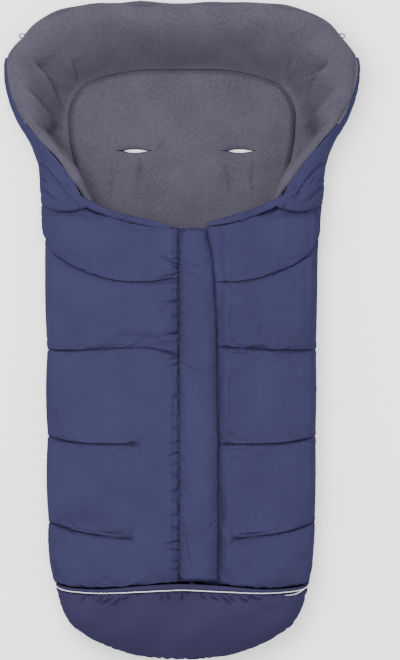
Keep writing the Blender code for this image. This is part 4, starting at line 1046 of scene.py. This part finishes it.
# Front panels
# Two quilted leaves of navy taffeta over hollow fibre, each sewn across into five channels. The
# stitching pulls the cloth down to the lining, so the channels swell and tuck along the seams.
QUILT_CROWN = 0.0105
ACROSS = (0.0, 0.07, 0.25, 0.5, 0.75, 1.0)
PANEL_SEAMS = [
    (0.1122, 0.1078, 0.1050, 0.1064, 0.1104, 0.1128),
    (0.1996, 0.1945, 0.1845, 0.1775, 0.1745, 0.1735),
    (0.3246, 0.3200, 0.3145, 0.3130, 0.3125, 0.3060),
    (0.4500, 0.4490, 0.4485, 0.4515, 0.4528, 0.4425),
    (0.6110, 0.5877, 0.5652, 0.5505, 0.5482, 0.5530),
]
# How far from the zip edge each seam's stitching ends, on the left panel and on the right one
SEAM_ENDS = {-1.0: (0, 0.061, 0.049, 0, 0, 0), 1.0: (0, 0.034, 0, 0, 0, 0)}
SEAM_END_OVER, SEAM_END_FILL = 0.016, 0.90
TOP_ACROSS = (0.0, 0.14, 0.26, 0.34, 0.45, 0.60, 0.78, 0.93, 1.0)
PANEL_TOP = (0.6612, 0.6612, 0.6608, 0.6555, 0.6465, 0.6360, 0.6292, 0.6270, 0.6270)
LEFT_EDGE, RIGHT_EDGE = 0.0040, 0.0323
FLAP_RIGHT = 0.052
FLAP_BOTTOM, ZIP_TOP = 0.1155, 0.6260
FLAP_ROWS = (0.0, 0.2, 0.4, 0.6, 0.78, 0.91, 1.0)
FLAP_EDGES = (1.0, 1.0, 1.0, 0.975, 0.92, 0.83, 0.68)
PUFF_FROM_SIDE, PUFF_FROM_EDGE = 0.015, 0.013
FLAP_SEAT, SEAT_FADE = 0.0025, 0.020
EDGE_FILL, INNER_EDGE_FILL = 0.16, 0.40
CHANNELS = len(PANEL_SEAMS)
# Where the arch's own stations end and even ones go on to the zip: share of the half width, angle
EVEN_FROM, EVEN_FROM_TURN = 0.75, 0.759


def flap_edge(y):
    """How far right the storm flap's free edge lies at a height from the foot end."""
    share = (y - FLAP_BOTTOM) / (ZIP_TOP - FLAP_BOTTOM)
    return FLAP_RIGHT * smooth_read(FLAP_ROWS, FLAP_EDGES, np.clip(share, 0, 1))


def bunched(count, bunch):
    """Shares from 0 to 1 that lie closer together at both ends."""
    t = np.linspace(0.0, 1.0, count)
    return t - bunch * np.sin(2 * math.pi * t) / (2 * math.pi)


def panel_grid(edge, columns, per_channel, depth, crown, seat, side=1.0):
    """A panel's surface at a depth below its skin, as if it were the right one, with how far
    each point is through its channel, the half width there and how open the seams are."""
    side_count = columns // 3
    turn = np.linspace(math.pi / 2, EVEN_FROM_TURN, side_count)
    onward = 1 - (1 - np.linspace(0, 1, columns - side_count + 1)[1:]) ** 1.35
    nominal = np.concatenate([
        np.sin(turn) ** (2 / ARCH_POWER), EVEN_FROM + (edge / HALF_BODY - EVEN_FROM) * onward,
    ])[None, :] * HALF_BODY
    across = 1 - nominal / HALF_BODY
    lines = [smooth_read(ACROSS, seam, across, 1.0) for seam in PANEL_SEAMS]
    lines.append(smooth_read(TOP_ACROSS, PANEL_TOP, across))
    y, through, ended = [], [], []
    zip_side = nominal - edge
    gone = [
        1 - ease((zip_side - reach) / SEAM_END_OVER) if reach else np.zeros_like(zip_side)
        for reach in SEAM_ENDS[side]
    ]
    for channel in range(CHANNELS):
        shares = bunched(per_channel + 1, 0.55)[:, None]
        shares = shares if channel == CHANNELS - 1 else shares[:-1]
        y.append(lines[channel] + (lines[channel + 1] - lines[channel]) * shares)
        through.append(np.broadcast_to(shares, y[-1].shape))
        ended.append(np.where(shares < 0.5, gone[channel], gone[channel + 1]))
    y, through, ended = np.concatenate(y), np.concatenate(through), np.concatenate(ended)
    half = half_width(y)
    x = edge + (half - depth - edge) * (nominal - edge) / (HALF_BODY - edge)
    height = BODY_HEIGHT - SEAM_HEIGHT - depth
    ratio = np.clip(x / (half - depth), 0, 1)
    rise = arch(ratio)
    nx, nz = ratio ** (ARCH_POWER - 1) / half, rise ** (ARCH_POWER - 1) / height
    size = np.hypot(nx, nz)
    nx, nz = nx / size, nz / size
    z = SEAM_HEIGHT + GAP + height * rise
    fill = ease((half - x) / PUFF_FROM_SIDE) * ease((x - edge - seat) / PUFF_FROM_EDGE)
    if crown:
        least = EDGE_FILL if seat else INNER_EDGE_FILL
        channel_fill = np.maximum(np.sin(math.pi * through) ** 0.48, SEAM_END_FILL * ended)
        swell = QUILT_CROWN * channel_fill * (least + (1 - least) * fill)
        x = x + nx * swell
        z = z + nz * swell
        if seat:
            z = z - FLAP_SEAT * ease((edge + seat - x) / SEAT_FADE + 1.0)
    return x, y, z, through, half, ended


# Tucks that show in the photograph along the flap's seam, by their pixel row, and their reach
LEFT_TUCKS = [
    (252, 9, 0.9), (259, 12, 1.0), (265, 22, 1.6), (269, 14, 1.4), (274, 16, 1.5), (281, 26, 1.2),
    (290, 10, 1.0), (301, 20, 1.3), (309, 9, 0.9), (317, 9, 0.9), (325, 10, 1.1), (333, 15, 1.6),
    (341, 8, 0.8), (356, 12, 1.2), (363, 13, 1.3), (372, 9, 0.9), (384, 8, 0.8), (396, 9, 0.8),
    (409, 10, 0.9), (416, 12, 1.0), (428, 9, 0.9), (441, 10, 1.0), (452, 13, 1.2), (463, 10, 0.9),
    (476, 9, 0.9), (489, 12, 1.0), (501, 9, 0.8), (514, 11, 0.9), (528, 12, 1.1), (540, 18, 1.3),
    (549, 14, 1.1), (560, 10, 0.9), (569, 9, 0.9),
]
TUCK_WIDTH = 0.0017
FLAP_TUCK = 0.0026
CHANNEL_SPAN = 0.115
SEAM_GROOVE, SEAM_GROOVE_WIDTH = 0.0012, 0.0016
SIDE_GATHER, SIDE_GATHER_TUCKS = 0.0026, (0.0125, 0.019, 0.0024)
SEAM_GATHER, SEAM_GATHER_TUCKS = 0.0013, (0.0080, 0.0065, 0.0014)
TOP_GATHER, TOP_GATHER_TUCKS = 0.0004, (0.010, 0.010, 0.0020)
QUILT_UNEVEN, QUILT_UNEVEN_SIZE = 0.0006, 0.085
QUILT_CRUMPLE, QUILT_CRUMPLE_SIZE = 0.0003, 0.030
# The groove that the flap's seam pulls into the left panel, and its softer shoulder: depth, width
EDGE_GROOVES = [(0.0036, 0.0017), (0.0010, 0.0060)]
# The hollow beside the flap's free edge, and a short upright tuck in the right panel's seam
BESIDE_FLAP, BESIDE_FLAP_WIDTH = 0.0042, 0.0032
SHORT_TUCK, SHORT_TUCK_X, SHORT_TUCK_Y = 0.0022, 0.082, 0.4550
SHORT_TUCK_WIDTH, SHORT_TUCK_REACH = 0.0012, 0.0065
# How far the panels' upper corners sink to pass under the hood's edge, and where
UNDER_HOOD, UNDER_HOOD_FROM, UNDER_HOOD_OVER = 0.0064, 0.007, 0.015
UNDER_HOOD_X, UNDER_HOOD_X_OVER = 0.100, 0.030
PANEL_COLUMNS, PANEL_ROWS = 96, 96
# The quilts' covers are laid as cloth on a coarser grid than they are drawn with
COARSE_COLUMNS, COARSE_ROWS = 60, 24
SETTLE_FRAMES = 20
SETTLE_PRESSURE = 1.2
SETTLE_GROWTH = 0.020
SETTLE_CAP = 0.0030


def spread(few, many):
    """Weights that read a smooth curve through a few evenly spaced values at many places."""
    at = np.linspace(0, few - 1, many)
    k = np.clip(at.astype(int), 0, few - 2)
    s = at - k
    weights = np.zeros((many, few))
    for shift, share in (
        (-1, -0.5 * s + s ** 2 - 0.5 * s ** 3), (0, 1 - 2.5 * s ** 2 + 1.5 * s ** 3),
        (1, 0.5 * s + 2 * s ** 2 - 1.5 * s ** 3), (2, -0.5 * s ** 2 + 0.5 * s ** 3),
    ):
        np.add.at(weights, (np.arange(many), np.clip(k + shift, 0, few - 1)), share)
    return weights


def settled(grid, held, out, shape):
    """Lay the cover as cloth, sewn down where it is held and blown up a little by its filling,
    and give how far each point of a finer grid moves out."""
    rows, columns = held.shape
    mesh = bpy.data.meshes.new("settling")
    mesh.from_pydata(grid.reshape(-1, 3).tolist(), [], quads(numbered(grid)).tolist())
    obj = bpy.data.objects.new("settling", mesh)
    bpy.context.scene.collection.objects.link(obj)
    group = obj.vertex_groups.new(name="sewn")
    group.add(np.nonzero(held.reshape(-1))[0].tolist(), 1.0, "REPLACE")
    modifier = obj.modifiers.new("cover", "CLOTH")
    settings = modifier.settings
    settings.vertex_group_mass = "sewn"
    settings.mass = 0.1
    settings.bending_stiffness = 0.05
    settings.shrink_min = -SETTLE_GROWTH
    settings.use_pressure = True
    settings.uniform_pressure_force = SETTLE_PRESSURE
    settings.effector_weights.gravity = 0.0
    scene = bpy.context.scene
    modifier.point_cache.frame_start, modifier.point_cache.frame_end = 1, SETTLE_FRAMES
    for number in range(1, SETTLE_FRAMES + 1):
        scene.frame_set(number)
    shaped = obj.evaluated_get(bpy.context.evaluated_depsgraph_get())
    places = np.zeros(3 * rows * columns)
    shaped.data.vertices.foreach_get("co", places)
    bpy.data.objects.remove(obj)
    bpy.data.meshes.remove(mesh)
    scene.frame_set(1)
    moved = ((places.reshape(rows, columns, 3) - grid) * out).sum(axis=2)
    moved = SETTLE_CAP * np.tanh(moved / SETTLE_CAP)
    return spread(rows, shape[0]) @ moved @ spread(columns, shape[1]).T


def quilt(name, side, edge, seat, seed):
    """One quilted panel, padded between its skin and its lining."""
    x, y, z, through, half, ended = panel_grid(edge, PANEL_COLUMNS, PANEL_ROWS, 0.0, True, seat, side)
    grid = np.stack([x, y - LENGTH / 2, z], -1)
    n = normals(grid, np.array([0.3, 0.0, 1.0]))
    laid = panel_grid(edge, COARSE_COLUMNS, COARSE_ROWS, 0.0, True, seat, side)
    cx, cy, cz, share, _, loose = laid
    coarse = np.stack([cx, cy - LENGTH / 2, cz], -1)
    held = ((share < 0.001) | (share > 0.999)) & (loose < 0.5)
    held[0], held[-1] = True, True
    held = held | (np.arange(coarse.shape[1]) % (coarse.shape[1] - 1) == 0)[None, :]
    out = normals(coarse, np.array([0.3, 0.0, 1.0]))
    grid = grid + n * settled(coarse, held, out, x.shape)[..., None]
    from_side = np.maximum(half - grid[..., 0], 0.0) + np.maximum(BODY_HEIGHT - 0.02 - z, 0.0)
    from_edge = np.maximum(x - edge, 0.0)
    to_seam = np.minimum(through, 1 - through) * CHANNEL_SPAN
    drop = SEAM_GROOVE * np.exp(-(to_seam / SEAM_GROOVE_WIDTH) ** 2) * (1 - ended)
    side_off = np.maximum(z - SEAM_HEIGHT, 0.0)
    drop += SIDE_GATHER * tucks(y, side_off, *SIDE_GATHER_TUCKS, seed + 1, SHOULDER_LENGTH)
    drop += SEAM_GATHER * tucks(x, to_seam, *SEAM_GATHER_TUCKS, seed + 2, HALF_BODY) * (1 - ended)
    drop -= QUILT_UNEVEN * ripple(x, y * 1.4, QUILT_UNEVEN_SIZE, seed + 3)
    drop -= QUILT_CRUMPLE * ripple(x * 1.5, y, QUILT_CRUMPLE_SIZE, seed + 4)
    if side < 0:
        for row, reach, deep in LEFT_TUCKS:
            here = (FOOT_PIXEL - row) * PIXEL
            far = from_edge / (reach * PIXEL)
            off = y - here + 0.40 * from_edge * math.sin(1.7 * row)
            off = off / (TUCK_WIDTH * (0.7 + 0.8 * far))
            drop += FLAP_TUCK * deep * np.exp(-off ** 2) * np.exp(-far ** 2)
        for deep, wide in EDGE_GROOVES:
            drop += deep * np.exp(-(from_edge / wide) ** 2)
    else:
        off_tuck = np.abs(x - SHORT_TUCK_X)
        here = np.exp(-((y - SHORT_TUCK_Y) / SHORT_TUCK_REACH) ** 2)
        drop += SHORT_TUCK * np.exp(-(off_tuck / SHORT_TUCK_WIDTH) ** 2) * here
        beside = np.maximum(x - flap_edge(y), 0.0)
        drop += BESIDE_FLAP * np.exp(-(beside / BESIDE_FLAP_WIDTH) ** 2)
    from_top = y[-1:] - y
    drop += TOP_GATHER * tucks(x, from_top, *TOP_GATHER_TUCKS, seed + 5, HALF_BODY) * (x > 0.02)
    under_hood = UNDER_HOOD * (1 - ease((from_top - UNDER_HOOD_FROM) / UNDER_HOOD_OVER))
    under_hood = under_hood * ease((x - UNDER_HOOD_X) / UNDER_HOOD_X_OVER)
    drop += under_hood * ease((half - x + 0.004) / 0.012)
    drop = drop * ease((half - x) / 0.0012 + 0.25)
    grid = grid - n * drop[..., None]
    inside = panel_grid(edge, PANEL_COLUMNS, PANEL_ROWS, WALL - FLEECE - GAP, False, seat)
    under = np.stack([inside[0], inside[1] - LENGTH / 2, inside[2]], -1)
    if side < 0:
        grid, under = mirrored(grid), mirrored(under)
    return sewn(name, grid, under, shell_navy)


def panel_fleece(name, side, edge, seat):
    """The fleece on the inside of a panel."""
    sheets = []
    for depth in (WALL - FLEECE, WALL):
        x, y, z = panel_grid(edge, 40, 12, depth, False, seat)[:3]
        sheets.append(np.stack([side * x, y - LENGTH / 2, z], -1))
    return sewn(name, sheets[0], sheets[1], grey_fleece), cut_size(sheets[0])


for name, side, edge, seat, seed in (
    ("left", -1.0, LEFT_EDGE, 0.0, 60), ("right", 1.0, RIGHT_EDGE, FLAP_RIGHT - RIGHT_EDGE, 70),
):
    panel = quilt(name + "_quilt", side, edge, seat, seed)
    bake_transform(panel)
    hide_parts(name + "_panel_outer", name + "_panel_wadding")
    lining, (size, area) = panel_fleece(name + "_fleece", side, edge, seat)
    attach(lining, name + "_front")
    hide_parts(name + "_panel_lining")

# Collars
# The panels' upper edge is turned over a flat band of wadding and gathered, so that a slanting
# row of small folds runs along it. Its outer end runs up over the shoulder to the fleece.
COLLAR_HEIGHT, COLLAR_SIDES, COLLAR_STEPS = 0.0048, 32, 260
COLLAR_LIFT = 0.0016
COLLAR_FULL, COLLAR_END = 3.9, 0.004
GATHER_DEPTH, GATHER_SPACING, GATHER_WIDTH = 0.0046, 0.0090, 0.0012
COLLAR_WELD = 0.00002
# Along each collar from the shoulder to the zip: its centre line and half width in pixels of
# the photograph, and how far it stands above the front's own curve, in millimetres
LEFT_COLLAR = [
    (65, 187.5, 1.8, 11.0), (72, 193.8, 3.2, 9.5), (80, 199.6, 3.9, 7.0), (90, 205.3, 3.9, 4.0),
    (104, 211.4, 3.7, 1.0), (120, 217.0, 3.7, 0.0), (136, 220.8, 3.6, 0.0),
    (151, 224.0, 3.3, 0.0), (163, 226.3, 2.6, -0.5), (173, 228.4, 1.4, -1.5),
]
RIGHT_COLLAR = [
    (299, 187.5, 1.8, 11.0), (291, 194.0, 3.2, 9.5), (281, 200.2, 3.8, 7.0), (270, 206.0, 3.7, 4.0),
    (260, 210.2, 3.8, 1.0), (248, 215.0, 4.0, 0.0), (238, 218.2, 3.9, 0.0),
    (225, 221.4, 3.4, 0.0), (213, 223.6, 2.6, -0.5), (206, 224.6, 1.6, -1.5),
]


def collar(name, table, seed):
    """One gathered band: a flattened tube along its line, pinched by the thread's folds."""
    rows = np.column_stack([spots(*[r[:2] for r in table]), [r[2:] for r in table]])
    line = follow(rows, COLLAR_STEPS)
    x, y = line[:, 0], line[:, 1] + LENGTH / 2
    z = SEAM_HEIGHT + (BODY_HEIGHT - SEAM_HEIGHT) * arch(x / half_width(y)) + line[:, 3] / 1000
    centre = np.column_stack([line[:, :2], z - COLLAR_LIFT])
    run = lengths_along(centre)
    along = np.gradient(centre, axis=0)
    along /= np.linalg.norm(along, axis=1)[:, None]
    across = np.cross(along, np.array([0.0, 0.0, 1.0]))
    across /= np.linalg.norm(across, axis=1)[:, None]
    lift = np.cross(across, along)
    turn = np.linspace(0, 2 * math.pi, COLLAR_SIDES + 1)[None, :]
    ends = np.sqrt(np.clip(np.minimum(run, run[-1] - run) / COLLAR_END, 0, 1))[:, None]
    half = line[:, 2:3] * PIXEL * ends
    height = COLLAR_HEIGHT * (0.45 + 0.55 * line[:, 2:3] / COLLAR_FULL) * ends
    slant = run[:, None] + 1.3 * half * np.cos(turn)
    level = np.zeros_like(slant)
    pinch = tucks(slant, level, GATHER_SPACING, 1.0, GATHER_WIDTH, seed, run[-1])
    wander = 1 + 0.06 * ripple(run[:, None], 0.01 * np.cos(turn), 0.028, seed + 1)
    gathered = np.sin(math.pi * np.clip(run / run[-1], 0, 1) ** 1.4)[:, None] ** 1.5
    depth = GATHER_DEPTH * pinch * (0.12 + 0.88 * gathered) * (0.6 + 0.4 * np.cos(turn))
    reach = np.abs(np.cos(turn)) ** 0.7 * np.sign(np.cos(turn)) * half * wander
    rise_by = (height * wander - depth) * np.abs(np.sin(turn)) ** 0.6 * np.sign(np.sin(turn))
    grid = centre[:, None] + across[:, None] * reach[..., None] + lift[:, None] * rise_by[..., None]
    return make_piece(name, grid, quads(numbered(grid)).tolist(), shell_navy, COLLAR_WELD)


for name, table, seed in (("left", LEFT_COLLAR, 81), ("right", RIGHT_COLLAR, 84)):
    band = collar(name + "_collar_band", table, seed)
    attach(band, name + "_front")
    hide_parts(name + "_collar")

# Storm flap
# A padded strip sewn along its left edge over the zip and free along its right one. Its seam
# sinks into a groove beside the left panel, and it creases slantwise where it is drawn tight.
FLAP_Z, FLAP_CLEARANCE = 0.0992, 0.0025
FLAP_THICKNESS, FLAP_CROWN = 0.006, 0.003
FLAP_SCALLOP = 0.0005
FLAP_SEAM_TUCK, FLAP_SEAM_TUCKS = 0.0012, (0.0115, 0.010, 0.0022)
FREE_EDGE_TUCK, FREE_EDGE_TUCKS = 0.0006, (0.021, 0.008, 0.0026)
FLAP_UNEVEN, FLAP_UNEVEN_SIZE = 0.0006, 0.055
# The flap is drawn tight over the zip, so it takes only this share of the cloth's own swelling
FLAP_SETTLE_SHARE = 0.5
FLAP_CREASES = [
    (((182, 530), (186, 543), (189, 558), (193, 574)), 0.0017, 0.0034, 0.0010),
    (((183, 522), (186, 530), (187, 538)), 0.0017, 0.0022, 0.0006),
    (((182, 363), (189, 367), (199, 372)), 0.0015, 0.0030, 0.0009),
    (((182, 369), (188, 374), (195, 382)), 0.0016, 0.0014, 0.0004),
    (((184, 262), (192, 266), (204, 268)), 0.0017, 0.0024, 0.0007),
    (((184, 274), (193, 276), (205, 283)), 0.0017, 0.0022, 0.0006),
    (((185, 286), (190, 291), (197, 300)), 0.0016, 0.0018, 0.0006),
    (((183, 445), (188, 451), (194, 462)), 0.0016, 0.0026, 0.0008),
    (((183, 441), (191, 444), (199, 451)), 0.0017, 0.0016, 0.0005),
    (((183, 486), (187, 491), (191, 499)), 0.0016, 0.0014, 0.0004),
    (((216, 520), (212, 525), (209, 532)), 0.0016, 0.0020, 0.0006),
]


def flap_grid(columns, rows, scallop):
    """The flap's stations: x, y, the height under it, and the shares across and along it."""
    share = np.linspace(0.0, 1.0, rows)[:, None]
    y = FLAP_BOTTOM + (ZIP_TOP - FLAP_BOTTOM) * share
    left = -LEFT_EDGE + GAP / 2 + scallop * (1 + ripple(y, 0.0, 0.014, 95))
    width = flap_edge(y) - left
    turn = np.linspace(0.0, math.pi, columns)[None, :]
    across = (1 - np.cos(turn)) / 2
    x = left + width * across
    free = ease((1 - across) / 0.35)
    low = FLAP_Z + FLAP_CLEARANCE * ease(across / 0.2) * free - 0.001 * (1 - free)
    y = np.broadcast_to(y, x.shape).copy()
    from_left = across * width
    y -= ease((share - 0.96) / 0.04) * 0.0070 * (1 - ease(from_left / 0.012))
    y -= ease((share - 0.98) / 0.02) * 0.0020 * ease((across - 0.7) / 0.3)
    y += (1 - ease(share / 0.03)) * 0.0060 * (1 - ease(from_left / 0.008))
    return x, y, low, across, share


x, y, low, across, share = flap_grid(44, 330, FLAP_SCALLOP)
body = FLAP_THICKNESS * (1 - np.abs(2 * across - 1) ** 7) ** 0.45
body = body + FLAP_CROWN * np.sin(math.pi * across)
body = body * (0.25 + 0.75 * ease(np.minimum(share, 1 - share) / 0.010 + 0.02))
top = np.stack([x, y - LENGTH / 2, low + SKIN + GAP + 0.0002 + body], -1)
n = normals(top, np.array([0.0, 0.0, 1.0]))
width = x[:, -1:] - x[:, :1]
from_left, from_right = across * width, (1 - across) * width
drop = FLAP_SEAM_TUCK * tucks(y, from_left, *FLAP_SEAM_TUCKS, 91, LENGTH)
drop += FREE_EDGE_TUCK * tucks(y, from_right, *FREE_EDGE_TUCKS, 92, LENGTH)
drop -= FLAP_UNEVEN * ripple(x * 1.5, y, FLAP_UNEVEN_SIZE, 93)
flat = top.reshape(-1, 3)
for path, wide, deep, ridge in FLAP_CREASES:
    drop -= crease(flat, spots(*path), wide, deep, ridge).reshape(drop.shape)
drop *= np.sin(math.pi * np.clip(across, 0.06, 0.94)) ** 0.3
coarse_x, coarse_y, coarse_low, coarse_across, coarse_share = flap_grid(18, 120, 0.0)
coarse = np.stack(np.broadcast_arrays(
    coarse_x, coarse_y - LENGTH / 2,
    coarse_low + (FLAP_THICKNESS + FLAP_CROWN) * np.sin(math.pi * coarse_across) ** 0.6), -1)
held = np.zeros(coarse_x.shape, bool)
held[:, 0], held[:, -1], held[0], held[-1] = True, True, True, True
out = normals(coarse, np.array([0.0, 0.0, 1.0]))
drop -= FLAP_SETTLE_SHARE * settled(coarse, held, out, drop.shape)
top = top - n * drop[..., None]
under = np.stack([x, y - LENGTH / 2, np.broadcast_to(low + SKIN + GAP, x.shape)], -1)
flap = sewn("storm_flap_quilt", top, under, shell_navy, angle=75)
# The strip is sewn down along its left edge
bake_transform(flap)
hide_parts("storm_flap")
x, y, low, across, share = flap_grid(16, 60, 0.0)
sheets = [np.stack(np.broadcast_arrays(x, y - LENGTH / 2, low + lift), -1) for lift in (SKIN, 0.0)]
facing = sewn("storm_flap_back", sheets[0], sheets[1], shell_navy)
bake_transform(facing)
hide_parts("storm_flap_facing")
size, area = cut_size(sheets[0])

# Zip
# A coil zip under the flap: woven tapes, nylon coils, and a die-cast slider with its puller and
# crimped stops. The solids' shapes are right, so they stay and take their real finish.
def die_cast(name, tone, roughness, metallic=1.0, specular=0.5):
    """Die-cast and tumbled metal with a fine grain. Black nickel plate gives it a dark, soft
    shine; a coat of navy lacquer hides the metal and leaves almost no gloss."""
    material, tree, shader, spot = cloth(name, roughness)
    shader.inputs["Base Color"].default_value = dye(tone)
    shader.inputs["Metallic"].default_value = metallic
    shader.inputs["Specular IOR Level"].default_value = specular
    grain = node(tree, "ShaderNodeTexNoise", {"Scale": 1 / 0.0008, "Detail": 3.0}, {"Vector": spot})
    bump = node(tree, "ShaderNodeBump", {"Strength": 0.15, "Distance": 0.0002},
                {"Height": grain.outputs["Fac"]})
    tree.links.new(bump.outputs["Normal"], shader.inputs["Normal"])
    return material


nickel = die_cast("black_nickel_plated_zinc", "#4d4f5c", 0.34)
lacquer = die_cast("navy_lacquered_brass", "#232240", 0.42, 0.0, 0.05)
# The tapes are woven of the shell's yarn. The coils' nylon is as matt, so it takes that finish
tape_cloth = taffeta("woven_zip_tape", "#302f4a", "#282741")
nylon = taffeta("nylon_coil", "#29283f", "#1f1e30")
for material, names in (
    (nickel, ("zip_slider", "zip_puller")),
    (lacquer, ("zip_top_stop_left", "zip_top_stop_right", "zip_bottom_stop")),
    (tape_cloth, ("zip_tape_left", "zip_tape_right")),
    (nylon, ("zip_coil_left", "zip_coil_right")),
):
    for name in names:
        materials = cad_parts[name].data.materials
        materials.clear()
        materials.append(material)

# The studio
# A plain white floor, soft light from above the head end, and a camera straight above with a
# long lens, as in the photograph.
FLOOR = 6.0
mesh = bpy.data.meshes.new("floor")
mesh.from_pydata([(-FLOOR, -FLOOR, 0), (FLOOR, -FLOOR, 0), (FLOOR, FLOOR, 0), (-FLOOR, FLOOR, 0)],
                 [], [(0, 1, 2, 3)])
floor = bpy.data.objects.new("floor", mesh)
floor.location.z = -0.0002
paper, _, shader, _ = cloth("white_paper", 0.9)
shader.inputs["Base Color"].default_value = dye("#ffffff")
shader.inputs["Emission Color"].default_value = dye("#ffffff")
shader.inputs["Emission Strength"].default_value = 0.75
mesh.materials.append(paper)
bpy.context.scene.collection.objects.link(floor)
floor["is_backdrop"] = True

world = bpy.data.worlds.new("studio")
bpy.context.scene.world = world
world.use_nodes = True
world.node_tree.nodes["Background"].inputs["Color"].default_value = dye("#ffffff")
world.node_tree.nodes["Background"].inputs["Strength"].default_value = 0.80


def softbox(name, location, size, power):
    """A square soft light that faces the object."""
    light = bpy.data.lights.new(name, "AREA")
    light.shape = "SQUARE"
    light.size = size
    light.energy = power
    obj = bpy.data.objects.new(name, light)
    obj.location = location
    obj.rotation_euler = (-Vector(location)).to_track_quat("-Z", "Y").to_euler()
    bpy.context.scene.collection.objects.link(obj)


softbox("key", (-0.42, 0.62, 2.6), 1.4, 98)
softbox("fill", (1.6, -0.8, 2.6), 2.0, 12)

CAMERA_HEIGHT = 10.0
FRAME_PIXELS = 660
SENSOR = 24.0
FRAME_CENTRE = spots((200.0, 330.0))[0]
camera_data = bpy.data.cameras.new("camera")
camera_data.sensor_fit = "VERTICAL"
camera_data.sensor_height = SENSOR
camera_data.lens = SENSOR * (CAMERA_HEIGHT - SEAM_HEIGHT) / (FRAME_PIXELS * PIXEL)
camera_data.clip_end = 60.0
camera = bpy.data.objects.new("camera", camera_data)
camera.location = (FRAME_CENTRE[0], FRAME_CENTRE[1], CAMERA_HEIGHT)
bpy.context.scene.collection.objects.link(camera)
bpy.context.scene.camera = camera

low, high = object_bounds()
